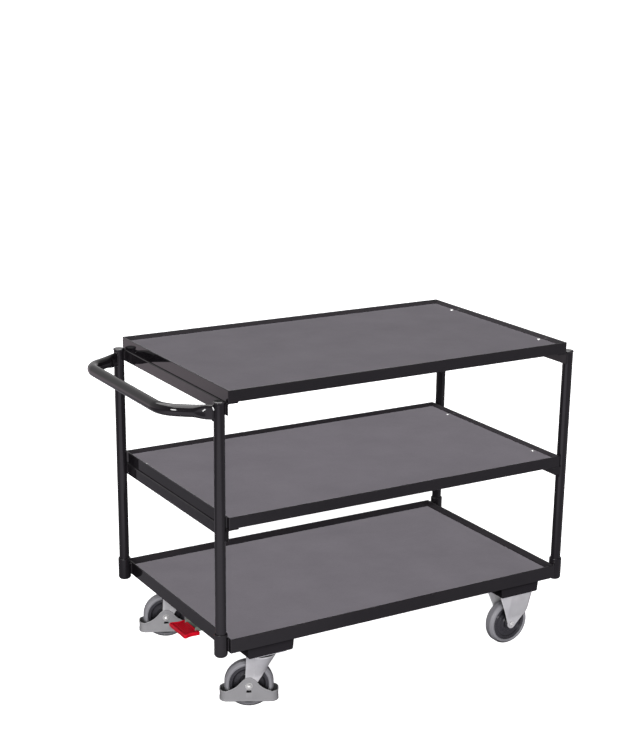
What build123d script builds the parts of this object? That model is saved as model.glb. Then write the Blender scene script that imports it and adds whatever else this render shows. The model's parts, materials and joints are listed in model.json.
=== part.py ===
from build123d import *
import os
from math import sin, cos, radians, sqrt

# Three-shelf table trolley, millimetres, +Z up, floor at z = 0.
# Lengthwise positions below count from the middle of the trays; XS moves the
# whole trolley so that the origin is at the middle of its outline on the floor.

# trays
TRAY_L = 1000.0          # outside length of each tray
TRAY_W = 600.0           # outside width of each tray
ANGLE_T = 3.0            # thickness of all angle steel
LEG_W = 30.0             # inward leg of the tray angles
RIM_BOTTOM = 37.0        # height of the bottom tray's angle
DECK_W = 611.0           # the bottom tray is a little wider than the upper ones
RIM_UPPER = 30.0         # height of the two upper trays' angles
CASTOR_H = 161.5         # overall height of the castors
Z_BOTTOM = CASTOR_H + 26.0   # level the posts are set out from
Z_DECK = Z_BOTTOM + 3.0      # underside of the bottom tray
Z_MIDDLE = Z_BOTTOM + 323.0  # underside of the middle tray
Z_TOP = Z_BOTTOM + 636.0     # underside of the top tray
BOARD_T = 15.0
BOARD_GAP = 0.5          # gap between a board and the rim

# end frames
BAR_W = 30.0             # crossbar angle, both legs
POST_R = 13.45
POST_WALL = 2.0
POST_X = 517.0
POST_Y = 286.0
POST_Z0 = Z_BOTTOM - 3.0
POST_Z1 = Z_TOP + 0.5
CAP_R = 14.6
CAP_H = 4.0
SOCKET_R = 16.85
SOCKET_BORE_R = 13.55
SOCKET_Z0 = Z_BOTTOM - 7.0
SOCKET_Z1 = Z_BOTTOM + 53.5

# push bow
BOW_R = 15.0
BOW_WALL = 2.0
BOW_X = -629.45          # axis of the grip
BOW_Y = 213.5            # corner of the bent axis
BOW_BEND = 68.0
BOW_Z = Z_TOP - 19.0
BOW_TILT = 1.7           # degrees the bow rises from the posts to the grip
FLAT_HALF_H = 19.5       # pressed end, half height
FLAT_HALF_T = 5.0        # pressed end, half thickness
FLAT_DROP = 1.3          # the pressed end sits this much below the axis

# board bolts
BB_X = 486.0
BB_Y = 200.0
BB_R = 3.0

# castor beams
BEAM_SPAN = {"left": (-450.5, -319.5), "right": (325.0, 450.0)}   # at the top
BEAM_DRAFT = 3.0         # the beam's ends lean in by this much at the bottom
BEAM_T = 3.0
BEAM_Z0 = CASTOR_H

# castors
CASTOR_Y = 243.0
WHEEL_R = 62.5
TYRE_HALF_W = 16.0
HUB_R = 50.0
HUB_HALF_W = 14.0
BOSS_R = 15.0
BOSS_HALF_W = 20.3
AXLE_R = 5.0
AXLE_FIT = 0.05          # running clearance of a hub on its axle
AXLE_Z = 62.5
PLATE_T = 4.0
PLATE_BOLT_X = 80.0
PLATE_BOLT_Y = 70.0      # swivel castor plates
FIX_BOLT_X = 60.0        # fixed castor plates, between the legs
FIX_BOLT_Y = 40.0
FIX_SHIFT = 7.0          # plate middle ahead of the axle
FIX_X = 390.0            # axle of the fixed castors
SWIVEL_X = -386.0        # swivel axis
TRAIL = 27.0             # wheel axle behind the swivel axis
YAW_NEAR = 28.3          # how far each swivel castor is turned at rest
YAW_FAR = 24.4
FORK_IN = 20.5           # half width inside the fork
FORK_T = 3.0
GUARD_T = 3.0
GUARD_HALF_L = 75.0
GUARD_Z0 = 20.0
GUARD_Z1 = 48.0

# central brake
SHAFT_X = -374.5
SHAFT_Z = CASTOR_H + 15.0
SHAFT_R = 6.0
FINGER_L = 11.5          # reach of the finger that presses a plunger
FINGER_R = 4.0
PLUNGER_R = 4.5
PAD_R = 11.0

XS = (abs(BOW_X) + BOW_R - POST_X - SOCKET_R) / 2.0

os.makedirs("parts", exist_ok=True)


def box(x0, x1, y0, y1, z0, z1):
    return Pos((x0 + x1) / 2, (y0 + y1) / 2, (z0 + z1) / 2) * Box(x1 - x0, y1 - y0, z1 - z0)


def cyl(x, y, z0, z1, r):
    return Pos(x, y, (z0 + z1) / 2) * Cylinder(r, z1 - z0)


def cyl_y(x, z, y0, y1, r):
    return Pos(x, (y0 + y1) / 2, z) * (Rot(90, 0, 0) * Cylinder(r, y1 - y0))


def prism(points, z0, z1):
    """Straight-sided plan outline, extruded upwards."""
    return Pos(0, 0, z0) * extrude(make_face(Polyline(*points, close=True)), amount=z1 - z0)


def side(points, y0, y1):
    """Outline in the XZ plane, extruded along +Y from y0 to y1."""
    face = make_face(Polyline(*points, close=True))
    return Pos(0, y1, 0) * (Rot(90, 0, 0) * extrude(face, amount=y1 - y0))


def hexagon(across, h):
    return extrude(RegularPolygon(across / sqrt(3.0), 6), amount=h)


def save(name, *shapes):
    solids = []
    for s in shapes:
        s = Pos(XS, 0, 0) * s
        solids.extend(s.solids())
    item = solids[0] if len(solids) == 1 else Compound(children=solids)
    export_step(item, os.path.join("parts", name + ".step"))


# ---------------------------------------------------------------- trays
hx, hy, t = TRAY_L / 2, TRAY_W / 2, ANGLE_T


def rails(z0, h, hy):
    """Front, back, left and right angle rails, mitred."""
    out = {}
    lx, ly = hx - LEG_W, hy - LEG_W
    tx, ty = hx - t, hy - t
    out["front"] = prism([(-hx, -hy), (hx, -hy), (tx, -ty), (-tx, -ty)], z0, z0 + h) + prism(
        [(-hx, -hy), (hx, -hy), (lx, -ly), (-lx, -ly)], z0, z0 + t)
    out["back"] = prism([(-hx, hy), (hx, hy), (tx, ty), (-tx, ty)], z0, z0 + h) + prism(
        [(-hx, hy), (hx, hy), (lx, ly), (-lx, ly)], z0, z0 + t)
    out["left"] = prism([(-hx, -hy), (-tx, -ty), (-tx, ty), (-hx, hy)], z0, z0 + h) + prism(
        [(-hx, -hy), (-lx, -ly), (-lx, ly), (-hx, hy)], z0, z0 + t)
    out["right"] = prism([(hx, -hy), (tx, -ty), (tx, ty), (hx, hy)], z0, z0 + h) + prism(
        [(hx, -hy), (lx, -ly), (lx, ly), (hx, hy)], z0, z0 + t)
    return out


for tray, z0, h, wide, bolted in (("bottom", Z_DECK, RIM_BOTTOM, DECK_W, False), ("middle", Z_MIDDLE, RIM_UPPER, TRAY_W, True),
                                  ("top", Z_TOP, RIM_UPPER, TRAY_W, True)):
    bx, by = hx - t - BOARD_GAP, wide / 2 - t - BOARD_GAP
    for place, rail in rails(z0, h, wide / 2).items():
        if bolted and place in ("left", "right"):
            sx = -1 if place == "left" else 1
            for sy in (-1, 1):
                rail -= cyl(sx * BB_X, sy * BB_Y, z0 - 1, z0 + t + 1, BB_R)
        save(tray + "_rail_" + place, rail)
    board = box(-bx, bx, -by, by, z0 + t, z0 + t + BOARD_T)
    if bolted:
        for sx in (-1, 1):
            for sy in (-1, 1):
                board -= cyl(sx * BB_X, sy * BB_Y, z0, z0 + 40, BB_R)
    save(tray + "_board", board)

# bolts through the upper boards: round head above, nut under the crossbar
bolts, nuts = [], []
for z0 in (Z_MIDDLE, Z_TOP):
    zb = z0 + t + BOARD_T
    for sx in (-1, 1):
        for sy in (-1, 1):
            x, y = sx * BB_X, sy * BB_Y
            head = cyl(x, y, zb, zb + 2.6, 5.25)
            head = fillet(head.edges().group_by(Axis.Z)[-1], 2.2)
            bolts.append(head + cyl(x, y, z0 - t - 8.0, zb, BB_R))
            nut = Pos(x, y, z0 - t - 5.0) * hexagon(10.0, 5.0) - cyl(x, y, z0 - t - 9, z0, BB_R)
            nuts.append(nut)
save("board_bolts", *bolts)
save("board_nuts", *nuts)

# ---------------------------------------------------------------- end frames
for tray, z0 in (("middle", Z_MIDDLE), ("top", Z_TOP)):
    for place, sx in (("left", -1), ("right", 1)):
        xo = POST_X - POST_R - 0.05          # outer face, against the posts
        bar = box(xo - t, xo, -hy, hy, z0 - BAR_W, z0) + box(xo - BAR_W, xo, -hy, hy, z0 - t, z0)
        for sy in (-1, 1):
            bar -= cyl(BB_X, sy * BB_Y, z0 - t - 1, z0 + 1, BB_R)
        save("crossbar_" + tray + "_" + place, bar if sx > 0 else Rot(0, 0, 180) * bar)

caps, sockets = [], []
for px, sx in (("left", -1), ("right", 1)):
    for py, sy in (("front", -1), ("back", 1)):
        x, y = sx * POST_X, sy * POST_Y
        tube = cyl(x, y, POST_Z0, POST_Z1, POST_R)
        bar_x = sx * (POST_X - POST_R - 0.05)
        for z0 in (Z_MIDDLE, Z_TOP):         # weld seams to the crossbars
            x0, x1 = sorted((bar_x, bar_x + sx * 1.9))
            tube += box(x0, x1, y - 4, y + 4, z0 - BAR_W + 1, z0 - 1)
        tube -= cyl(x, y, POST_Z0 - 1, POST_Z1 + 1, POST_R - POST_WALL)
        save("post_" + py + "_" + px, tube)
        cap = cyl(x, y, POST_Z1, POST_Z1 + CAP_H, CAP_R)
        cap = fillet(cap.edges().group_by(Axis.Z)[-1], 1.6)
        caps.append(cap + cyl(x, y, POST_Z1 - 10, POST_Z1, POST_R - POST_WALL - 0.1))
        s = cyl(x, y, SOCKET_Z0, SOCKET_Z1, SOCKET_R)
        s = fillet(s.edges().group_by(Axis.Z)[0], 5.0)
        s = fillet(s.edges().group_by(Axis.Z)[-1], 0.8)
        x0, x1 = sorted((sx * hx, sx * (hx + 6)))
        s += box(x0, x1, y - 7, y + 7, Z_DECK + 1, Z_DECK + RIM_BOTTOM - 1)
        sockets.append(s - cyl(x, y, POST_Z0, SOCKET_Z1 + 1, SOCKET_BORE_R))
save("post_caps", *caps)
save("post_sockets", *sockets)

# ---------------------------------------------------------------- push bow
leg = Vector(BOW_X + POST_X, POST_Y - BOW_Y, 0)          # from the front left post to the corner
leg_dir = leg.normalized()


def bow_solid(r, half_h, half_t):
    a = Vector(-POST_X, -POST_Y, BOW_Z)
    p0 = a + leg_dir * 64.0
    b, c = Vector(BOW_X, -BOW_Y, BOW_Z), Vector(BOW_X, BOW_Y, BOW_Z)
    q0 = Vector(p0.X, -p0.Y, BOW_Z)
    wire = FilletPolyline(p0, b, c, q0, radius=BOW_BEND)
    tube = sweep(Plane(origin=p0, z_dir=leg_dir) * Circle(r), path=wire)
    out = tube
    for sy in (-1, 1):
        d = Vector(leg_dir.X, -sy * leg_dir.Y, 0)
        base = Vector(-POST_X, sy * POST_Y, BOW_Z)

        def section(s, a_v, b_t, drop):
            pl = Plane(origin=base + d * s - Vector(0, 0, drop), x_dir=Vector(0, 0, 1), z_dir=d)
            return pl * Ellipse(a_v, b_t)

        k = half_h - r
        m = r - half_t
        secs = [section(64.0, r, r, 0.0), section(52.0, r + 0.22 * k, r - 0.18 * m, 0.2 * FLAT_DROP),
                section(40.0, r + 0.72 * k, r - 0.70 * m, 0.7 * FLAT_DROP), section(28.0, half_h, half_t, FLAT_DROP)]
        out += loft(secs)
        out += loft([section(28.0, half_h, half_t, FLAT_DROP), section(6.0, half_h, half_t, FLAT_DROP)])
    return out


bow = bow_solid(BOW_R, FLAT_HALF_H, FLAT_HALF_T) - bow_solid(BOW_R - BOW_WALL, FLAT_HALF_H - BOW_WALL, FLAT_HALF_T - BOW_WALL)
bow = bow.rotate(Axis((BOW_X, 0, BOW_Z), (0, 1, 0)), BOW_TILT)
for sy in (-1, 1):
    bow -= cyl(-POST_X, sy * POST_Y, BOW_Z - 40, BOW_Z + 40, POST_R)
save("push_bow", bow)

# ---------------------------------------------------------------- castor beams
bolt_at = {"fixed": (FIX_X + FIX_SHIFT, FIX_BOLT_X, FIX_BOLT_Y), "swivel": (SWIVEL_X, PLATE_BOLT_X, PLATE_BOLT_Y)}


def plate_bolts(xc, yc, long, wide):
    for sx in (-1, 1):
        for sy in (-1, 1):
            yield xc + sx * long / 2, yc + sy * wide / 2


for name, sx in (("right", 1), ("left", -1)):
    x0, x1 = BEAM_SPAN[name]
    lean = BEAM_DRAFT
    b = side([(x0, Z_DECK), (x0 + lean, BEAM_Z0), (x1 - lean, BEAM_Z0), (x1, Z_DECK)], -hy, hy)
    b = fillet(b.edges().filter_by(Axis.Y).group_by(Axis.Z)[0], 4.0)
    t = BEAM_T + 0.1
    b -= side([(x0 + t, Z_DECK + 1), (x0 + lean + t, BEAM_Z0 + BEAM_T), (x1 - lean - t, BEAM_Z0 + BEAM_T), (x1 - t, Z_DECK + 1)],
              -hy + BEAM_T, hy - BEAM_T)
    xc, long, wide = bolt_at["fixed"] if sx > 0 else bolt_at["swivel"]
    for sy in (-1, 1):
        for x, y in plate_bolts(xc, sy * CASTOR_Y, long, wide):
            b -= cyl(x, y, BEAM_Z0 - 1, BEAM_Z0 + BEAM_T + 1, 4.0)
        if sx < 0:
            b -= cyl(SWIVEL_X, sy * CASTOR_Y, BEAM_Z0 - 1, BEAM_Z0 + BEAM_T + 1, 7.0)
            ys = sorted((sy * 26.5, sy * 32.5))
            b -= box(SHAFT_X - 49, SHAFT_X + 6, ys[0], ys[1], BEAM_Z0 - 1, BEAM_Z0 + BEAM_T + 1)
    save("castor_beam_" + name, b)

# plate bolts: heads under the plates, nuts inside the beams
bolts, nuts = [], []
for xc, long, wide in bolt_at.values():
    for sy in (-1, 1):
        for x, y in plate_bolts(xc, sy * CASTOR_Y, long, wide):
            zp = BEAM_Z0 - PLATE_T
            bolts.append(Pos(x, y, zp - 5.3) * hexagon(13.0, 5.3) + cyl(x, y, zp, BEAM_Z0 + BEAM_T + 9.0, 4.0))
            zn = BEAM_Z0 + BEAM_T
            nuts.append(Pos(x, y, zn) * hexagon(13.0, 6.5) - cyl(x, y, zn - 1, zn + 8, 4.0))
save("castor_bolts", *bolts)
save("castor_nuts", *nuts)

# ---------------------------------------------------------------- wheels
hub_pts = [(AXLE_R + AXLE_FIT, 0), (AXLE_R + AXLE_FIT, BOSS_HALF_W), (BOSS_R - 1.5, BOSS_HALF_W), (BOSS_R, BOSS_HALF_W - 1.5),
           (BOSS_R + 1.0, 10.5), (BOSS_R + 3.0, 9.0), (30.0, 8.0), (38.0, 8.0), (40.5, 9.0), (42.0, HUB_HALF_W - 1.0),
           (43.0, HUB_HALF_W), (HUB_R, HUB_HALF_W), (HUB_R, 0)]
tyre_pts = [(HUB_R, 0), (HUB_R, HUB_HALF_W), (HUB_R + 1.0, HUB_HALF_W + 1.0), (HUB_R + 3.0, TYRE_HALF_W), (HUB_R + 5.0, TYRE_HALF_W)]


def ring(points, arc=None):
    """Revolved ring about the Y axis, mirrored about its middle plane; points are (radius, half width)."""
    pts = list(points)
    if arc:
        n = 8
        for k in range(1, n):
            a = radians(90.0 * k / n)
            pts.append((arc[0] + (WHEEL_R - arc[0]) * sin(a), arc[1] + (TYRE_HALF_W - arc[1]) * cos(a)))
        pts += [(WHEEL_R, arc[1]), (WHEEL_R, 0)]
    full = pts + [(r, -w) for r, w in reversed(pts) if w > 0]
    face = make_face(Polyline(*full, close=True))
    return revolve(face, axis=Axis.Y)


HUB = ring(hub_pts)
TYRE = ring(tyre_pts, arc=(HUB_R + 5.0, 8.0))

# ---------------------------------------------------------------- fixed castors
# side outline of a bracket leg, axle at (0, AXLE_Z); the legs stand upright at the axle
# and lean outwards above the bend, and their long edges are bent in
FIX_TOP = BEAM_Z0 - PLATE_T
FIX_BEND_Z = 82.0
FIX_SIDE = [(-46, FIX_TOP), (-44.5, 147), (-26, 103), (-12.6, 66), (-11.9, 57.7), (-9.0, 53.2), (-4.7, 50.4), (0, 49.5), (4.7, 50.4),
            (9.0, 53.2), (15.5, 61.5), (34, 80), (46, 92.5), (51, 101), (54.5, 147), (55.5, FIX_TOP)]
FIX_OUT, FIX_OUT_TOP, FIX_T = 26.5, 46.0, 3.0


def leg_section(s, v):
    return [(-49, s * (v - 14.0)), (-17, s * v), (45, s * v), (58, s * (v - 6.5)), (58, s * (v - 6.5 - FIX_T)), (45, s * (v - FIX_T)),
            (-17, s * (v - FIX_T)), (-49, s * (v - 14.0 - FIX_T))]


def fixed_castor():
    """Bracket, axle bolt and nut with the wheel's middle plane at y = 0 and the bolt head to -Y."""
    plate = fillet(box(-48, 57, -48, 48, FIX_TOP, BEAM_Z0).edges().filter_by(Axis.Z), 6.0)
    for x, y in plate_bolts(FIX_SHIFT, 0, FIX_BOLT_X, FIX_BOLT_Y):
        plate -= cyl(x, y, FIX_TOP - 1, BEAM_Z0 + 1, 4.0)
    bracket = plate
    outline = side(FIX_SIDE, -50, 50)
    for s in (-1, 1):
        low = make_face(Polyline(*[(x, y, FIX_BEND_Z) for x, y in leg_section(s, FIX_OUT)], close=True))
        high = make_face(Polyline(*[(x, y, FIX_TOP) for x, y in leg_section(s, FIX_OUT_TOP)], close=True))
        leg_solid = loft([low, high], ruled=True) + prism(leg_section(s, FIX_OUT), 45, FIX_BEND_Z)
        bracket += leg_solid & outline
    bracket -= cyl_y(0, AXLE_Z, -60, 60, AXLE_R)
    bolt = cyl_y(0, AXLE_Z, -FIX_OUT - 0.0, FIX_OUT + 7.5, AXLE_R) + Pos(0, -FIX_OUT, AXLE_Z) * (Rot(90, 0, 0) * hexagon(15.0, 3.0))
    bolt += Pos(0, -FIX_OUT - 3.0, AXLE_Z) * (Rot(90, 0, 0) * Cone(6.0, 4.0, 1.4, align=(Align.CENTER, Align.CENTER, Align.MIN)))
    nut = Pos(0, FIX_OUT, AXLE_Z) * (Rot(-90, 0, 0) * hexagon(15.0, 6.0)) - cyl_y(0, AXLE_Z, 0, 60, AXLE_R)
    return bracket, bolt, nut


axles = []
for name, sy in (("front", -1), ("back", 1)):
    pieces = fixed_castor()
    if sy > 0:
        pieces = [mirror(s, about=Plane.XZ) for s in pieces]
    pieces = [Pos(FIX_X, sy * CASTOR_Y, 0) * s for s in pieces]
    save("fixed_bracket_" + name, pieces[0])
    axles += pieces[1:]
    at = Pos(FIX_X, sy * CASTOR_Y, AXLE_Z)
    save("fixed_hub_" + name, at * HUB)
    save("fixed_tyre_" + name, at * TYRE)
save("fixed_axles", *axles)

# ---------------------------------------------------------------- swivel castors
FORK_OUT = FORK_IN + FORK_T
CROWN_Z0, CROWN_Z1 = CASTOR_H - 17.0, CASTOR_H - 13.0      # round fork crown
CROWN_R = 43.0
RACE_Z = CROWN_Z1 + 1.75                                  # between the two bearing rings
PIN_Z0 = 138.0
FORK_BEND_Z = 86.0                                        # the legs are upright below and spread to the crown above
FORK_SIDE = [(-9, FORK_BEND_Z), (-9, 61.0), (-8.3, 56.5), (-6.4, 53.0), (-3.5, 50.5), (0, 49.5), (5, 50.5), (9.2, 53.3), (13.5, 58.5),
             (21.8, 71.5), (30.2, FORK_BEND_Z)]
hump = [(64, 0), (56, 1.5), (48, 4.0), (40, 8.0), (33, 12.5), (27, 17.5), (21.5, 23.5), (16, 29.5), (10.5, 34.0), (5, 36.6)]
GUARD_SIDE = ([(-64, GUARD_Z1 - 2)] + [(-x, GUARD_Z1 + z) for x, z in hump] + [(0, GUARD_Z1 + 37.2)]
              + [(x, GUARD_Z1 + z) for x, z in reversed(hump)] + [(64, GUARD_Z1 - 2)])


def swivel_castor():
    """All pieces with the swivel axis at the origin and the wheel trailing to -X."""
    a = -TRAIL
    # top plate with the upper bearing ring
    plate = fillet(box(-52.5, 52.5, -52.5, 52.5, BEAM_Z0 - PLATE_T, BEAM_Z0).edges().filter_by(Axis.Z), 8.0)
    for x, y in plate_bolts(0, 0, PLATE_BOLT_X, PLATE_BOLT_Y):
        plate -= cyl(x, y, BEAM_Z0 - PLATE_T - 1, BEAM_Z0 + 1, 4.0)
    plate += cyl(0, 0, RACE_Z + 0.15, BEAM_Z0 - PLATE_T, 30.0) - cyl(0, 0, RACE_Z - 1, BEAM_Z0, 22.0)
    plate -= cyl(0, 0, CROWN_Z1, BEAM_Z0 + 1, 8.0)
    pin = cyl(0, 0, PIN_Z0, BEAM_Z0, 8.0) + cyl(0, 0, PIN_Z0, CROWN_Z0 - 0.4, 13.0)
    pin -= cyl(0, 0, PIN_Z0 - 1, BEAM_Z0 + 1, PLUNGER_R + 0.1)
    # fork: crown with the lower bearing ring, two legs
    fork = cyl(0, 0, CROWN_Z0, CROWN_Z1, CROWN_R) & box(-36, 60, -60, 60, CROWN_Z0 - 1, CROWN_Z1 + 1)
    n = 10
    for s in (-1, 1):
        y0, y1 = sorted((s * FORK_IN, s * FORK_OUT))
        fork += Pos(a, 0, 0) * side(FORK_SIDE, y0, y1)
        low, high = [], []
        for k in range(n + 1):
            x = a - 9 + 39.2 * k / n
            t = radians(142.0 - 130.0 * k / n)
            low.append((x, s * FORK_OUT, FORK_BEND_Z))
            high.append((CROWN_R * cos(t), s * CROWN_R * sin(t), CROWN_Z1))
        for k in range(n, -1, -1):
            x = a - 9 + 39.2 * k / n
            t = radians(142.0 - 130.0 * k / n)
            low.append((x, s * FORK_IN, FORK_BEND_Z))
            high.append(((CROWN_R - FORK_T) * cos(t), s * (CROWN_R - FORK_T) * sin(t), CROWN_Z1))
        fork += loft([make_face(Polyline(*low, close=True)), make_face(Polyline(*high, close=True))], ruled=True)
    fork += cyl(0, 0, CROWN_Z1, RACE_Z - 0.15, 29.0) - cyl(0, 0, CROWN_Z0, RACE_Z + 2, 20.0)
    fork -= cyl(0, 0, 130, RACE_Z + 2, 8.3)
    fork -= cyl_y(a, AXLE_Z, -40, 40, AXLE_R)
    # foot guard: band around the wheel with a hump over the axle on each side
    g_out = FORK_OUT + GUARD_T
    band = Pos(a, 0, (GUARD_Z0 + GUARD_Z1) / 2) * (
        extrude(RectangleRounded(2 * GUARD_HALF_L, 2 * g_out, 20.0), amount=(GUARD_Z1 - GUARD_Z0) / 2, both=True)
        - extrude(RectangleRounded(2 * (GUARD_HALF_L - GUARD_T), 2 * FORK_OUT, 17.0), amount=GUARD_Z1 - GUARD_Z0, both=True))
    guard = band
    for s in (-1, 1):
        y0, y1 = sorted((s * FORK_OUT, s * g_out))
        guard += Pos(a, 0, 0) * (side(GUARD_SIDE, y0, y1) & box(-55, 55, -60, 60, 0, 200))
    guard -= cyl_y(a, AXLE_Z, -60, 60, AXLE_R)
    guard -= cyl_y(a, 77.0, -60, 60, 1.6)
    guard -= box(a - 3.8, a + 3.8, -60, 60, 46.0, 51.0) + cyl_y(a - 3.8, 48.5, -60, 60, 2.5) + cyl_y(a + 3.8, 48.5, -60, 60, 2.5)
    bolt = cyl_y(a, AXLE_Z, -g_out - 7.0, g_out, AXLE_R) + Pos(a, g_out, AXLE_Z) * (Rot(-90, 0, 0) * hexagon(17.0, 5.0))
    nut = Pos(a, -g_out, AXLE_Z) * (Rot(90, 0, 0) * hexagon(17.0, 5.5))
    dome = Pos(a, -g_out - 1.5, AXLE_Z) * Sphere(8.3) & box(a - 20, a + 20, -g_out - 20, -g_out - 4, 0, 200)
    nut = nut + dome - cyl_y(a, AXLE_Z, -g_out - 7.0, 60, AXLE_R)
    wheel_at = Pos(a, 0, AXLE_Z)
    return {"plate": plate, "pin": pin, "fork": fork, "guard": guard, "axle": [bolt, nut], "hub": wheel_at * HUB, "tyre": wheel_at * TYRE}


CASTOR = swivel_castor()
pins = []
for name, sy, yaw in (("front", -1, YAW_NEAR), ("back", 1, YAW_FAR)):
    at = Pos(SWIVEL_X, sy * CASTOR_Y, 0)
    turned = at * Rot(0, 0, -yaw)
    save("swivel_plate_" + name, at * CASTOR["plate"])
    pins.append(at * CASTOR["pin"])
    save("swivel_fork_" + name, turned * CASTOR["fork"])
    save("foot_guard_" + name, turned * CASTOR["guard"])
    save("swivel_axle_" + name, *[turned * s for s in CASTOR["axle"]])
    save("swivel_hub_" + name, turned * CASTOR["hub"])
    save("swivel_tyre_" + name, turned * CASTOR["tyre"])
    rod = cyl(SWIVEL_X, sy * CASTOR_Y, PIN_Z0 - 2, SHAFT_Z - FINGER_R - 0.3, PLUNGER_R) + cyl(SWIVEL_X, sy * CASTOR_Y, 127.5, PIN_Z0 - 0.5, PAD_R)
    save("brake_plunger_" + name, rod)
save("kingpins", *pins)

# ---------------------------------------------------------------- central brake
shaft = cyl_y(SHAFT_X, SHAFT_Z, -CASTOR_Y - 10, CASTOR_Y + 10, SHAFT_R)
for sy in (-1, 1):
    y0, y1 = sy * CASTOR_Y - 6, sy * CASTOR_Y + 6
    finger = box(SHAFT_X - FINGER_L, SHAFT_X, y0, y1, SHAFT_Z - FINGER_R, SHAFT_Z + FINGER_R)
    finger += cyl_y(SHAFT_X - FINGER_L, SHAFT_Z, y0, y1, FINGER_R) + cyl_y(SHAFT_X, SHAFT_Z, y0, y1, 7.5)
    shaft += finger
save("brake_shaft", shaft)

blocks = []
for sy in (-1, 1):
    y0, y1 = sy * 120 - 10, sy * 120 + 10
    blk = box(SHAFT_X - 12, SHAFT_X + 12, y0, y1, BEAM_Z0 + BEAM_T, SHAFT_Z + 9.5)
    blk = fillet(blk.edges().filter_by(Axis.Y).group_by(Axis.Z)[-1], 8.0)
    blocks.append(blk - cyl_y(SHAFT_X, SHAFT_Z, y0 - 1, y1 + 1, SHAFT_R + 0.05))
save("shaft_blocks", *blocks)

# lever: two arms on the shaft, joined by the plate that carries the pad
LEVER_Y0, LEVER_Y1 = 28.0, 31.0
PLATE_Z0, PLATE_Z1 = 131.5, 134.5
arm_pts = [(SHAFT_X + 9, SHAFT_Z - 3), (SHAFT_X + 9, SHAFT_Z + 6), (SHAFT_X + 3, SHAFT_Z + 9.5), (SHAFT_X - 5, SHAFT_Z + 9.0), (-437.5, 152.0),
           (-459.5, 144.0), (-461.5, PLATE_Z1), (-461.5, PLATE_Z0), (-433.5, PLATE_Z0), (SHAFT_X + 2, SHAFT_Z - 10)]
lever = None
for s in (-1, 1):
    y0, y1 = sorted((s * LEVER_Y0, s * LEVER_Y1))
    arm = side(arm_pts, y0, y1)
    lever = arm if lever is None else lever + arm
lever += box(-489.5, -435.5, -LEVER_Y1, LEVER_Y1, PLATE_Z0, PLATE_Z1)
lever -= cyl_y(SHAFT_X, SHAFT_Z, -60, 60, SHAFT_R)
save("pedal_lever", lever)

pad_pts = [(-499.5, -47), (-491.5, -46.4), (-483.5, -43), (-475.5, -42), (-463.5, -43.5), (-453.5, -44), (-453.5, 44), (-463.5, 43.5), (-475.5, 42),
           (-483.5, 43), (-491.5, 46.4), (-499.5, 47)]
pad = prism(pad_pts, 126.0, 137.0)
pad = fillet(pad.edges().filter_by(Axis.Z).group_by(Axis.X)[0], 4.0)
pad = fillet(pad.edges().group_by(Axis.Z)[-1], 2.5)
pad -= box(-489.5, -437.5, -LEVER_Y1, LEVER_Y1, PLATE_Z0, PLATE_Z1)
for s in (-1, 1):
    y0, y1 = sorted((s * (LEVER_Y0 - 0.3), s * (LEVER_Y1 + 0.3)))
    pad -= box(-463.5, -437.5, y0, y1, PLATE_Z0, 148.5)
save("pedal_pad", pad)
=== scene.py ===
import json
from math import atan2, cos, exp, pi, radians, sin, sqrt, tan

import bmesh
import bpy
from mathutils import Matrix, Vector


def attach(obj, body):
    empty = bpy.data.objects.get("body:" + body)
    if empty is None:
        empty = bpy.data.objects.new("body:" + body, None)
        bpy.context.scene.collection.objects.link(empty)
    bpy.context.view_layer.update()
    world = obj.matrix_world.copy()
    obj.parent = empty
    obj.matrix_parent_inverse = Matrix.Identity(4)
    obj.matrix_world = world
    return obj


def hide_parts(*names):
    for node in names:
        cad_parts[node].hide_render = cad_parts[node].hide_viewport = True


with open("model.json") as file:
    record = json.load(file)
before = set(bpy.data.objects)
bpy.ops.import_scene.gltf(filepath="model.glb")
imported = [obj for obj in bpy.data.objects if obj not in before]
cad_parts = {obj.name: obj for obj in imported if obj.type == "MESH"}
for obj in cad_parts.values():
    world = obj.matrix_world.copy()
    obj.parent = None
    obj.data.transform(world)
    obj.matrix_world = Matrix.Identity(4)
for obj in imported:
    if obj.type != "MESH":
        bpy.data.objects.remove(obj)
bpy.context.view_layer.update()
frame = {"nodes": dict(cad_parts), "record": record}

nodes = frame["nodes"]
scene = bpy.context.scene

# ------------------------------------------------------------------ sizes, in millimetres
XS = 55.3                       # the trays' middle, along X
HX, HY = 500.0, 300.0           # half the tray
DECK_HY = 305.5                 # half the width of the bottom tray
TRAY_Z = {"bottom": 190.5, "middle": 510.5, "top": 823.5}
RIM_H = {"bottom": 37.0, "middle": 30.0, "top": 30.0}
STEEL = 3.0
BOARD_T = 15.0
BAR_W = 30.0
POST_X, POST_Y, POST_R = 517.0, 286.0, 13.45
POST_Z0, POST_Z1 = 184.5, 824.0
BAR_X = POST_X - POST_R - 0.05
BOW_X, BOW_Y, BOW_R, BOW_BEND, BOW_Z = -629.45, 213.5, 14.97, 68.0, 804.5
BOW_SLOPE, BOW_DROP = 0.02968, 1.3          # the bow rises to its grip; its pressed ends sit a little low
CASTOR_H, CASTOR_Y = 161.5, 243.0
FIX_X, SWIVEL_X, TRAIL = 390.0, -386.0, 27.0
YAW = {"front": 28.3, "back": 24.4}
AXLE_Z, WHEEL_R = 62.5, 62.5
FORK_OUT, SHEET_T = 23.5, 3.0
GUARD_OUT = 26.5
CROWN_Z0, CROWN_Z1, CROWN_R = CASTOR_H - 17.0, CASTOR_H - 13.0, 43.0
BB_X, BB_Y = 486.0, 200.0

# ------------------------------------------------------------------ light levels
FLOOR_GLOW = 1.0
CARD_LEFT, CARD_RIGHT, CARD_BEHIND, CARD_UNDER = 0.30, 0.46, 0.62, 0.25
SKY_FRONT, SKY_BACK = 0.20, 0.72
TOP_GLOW = 5.6
KEY_AZ, KEY_EL, KEY_E = 238.0, 21.0, 5.0
SPOT_GLOW, POOL_GLOW = 36.0, 1.00
BOARD_E = 1.87


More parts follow.
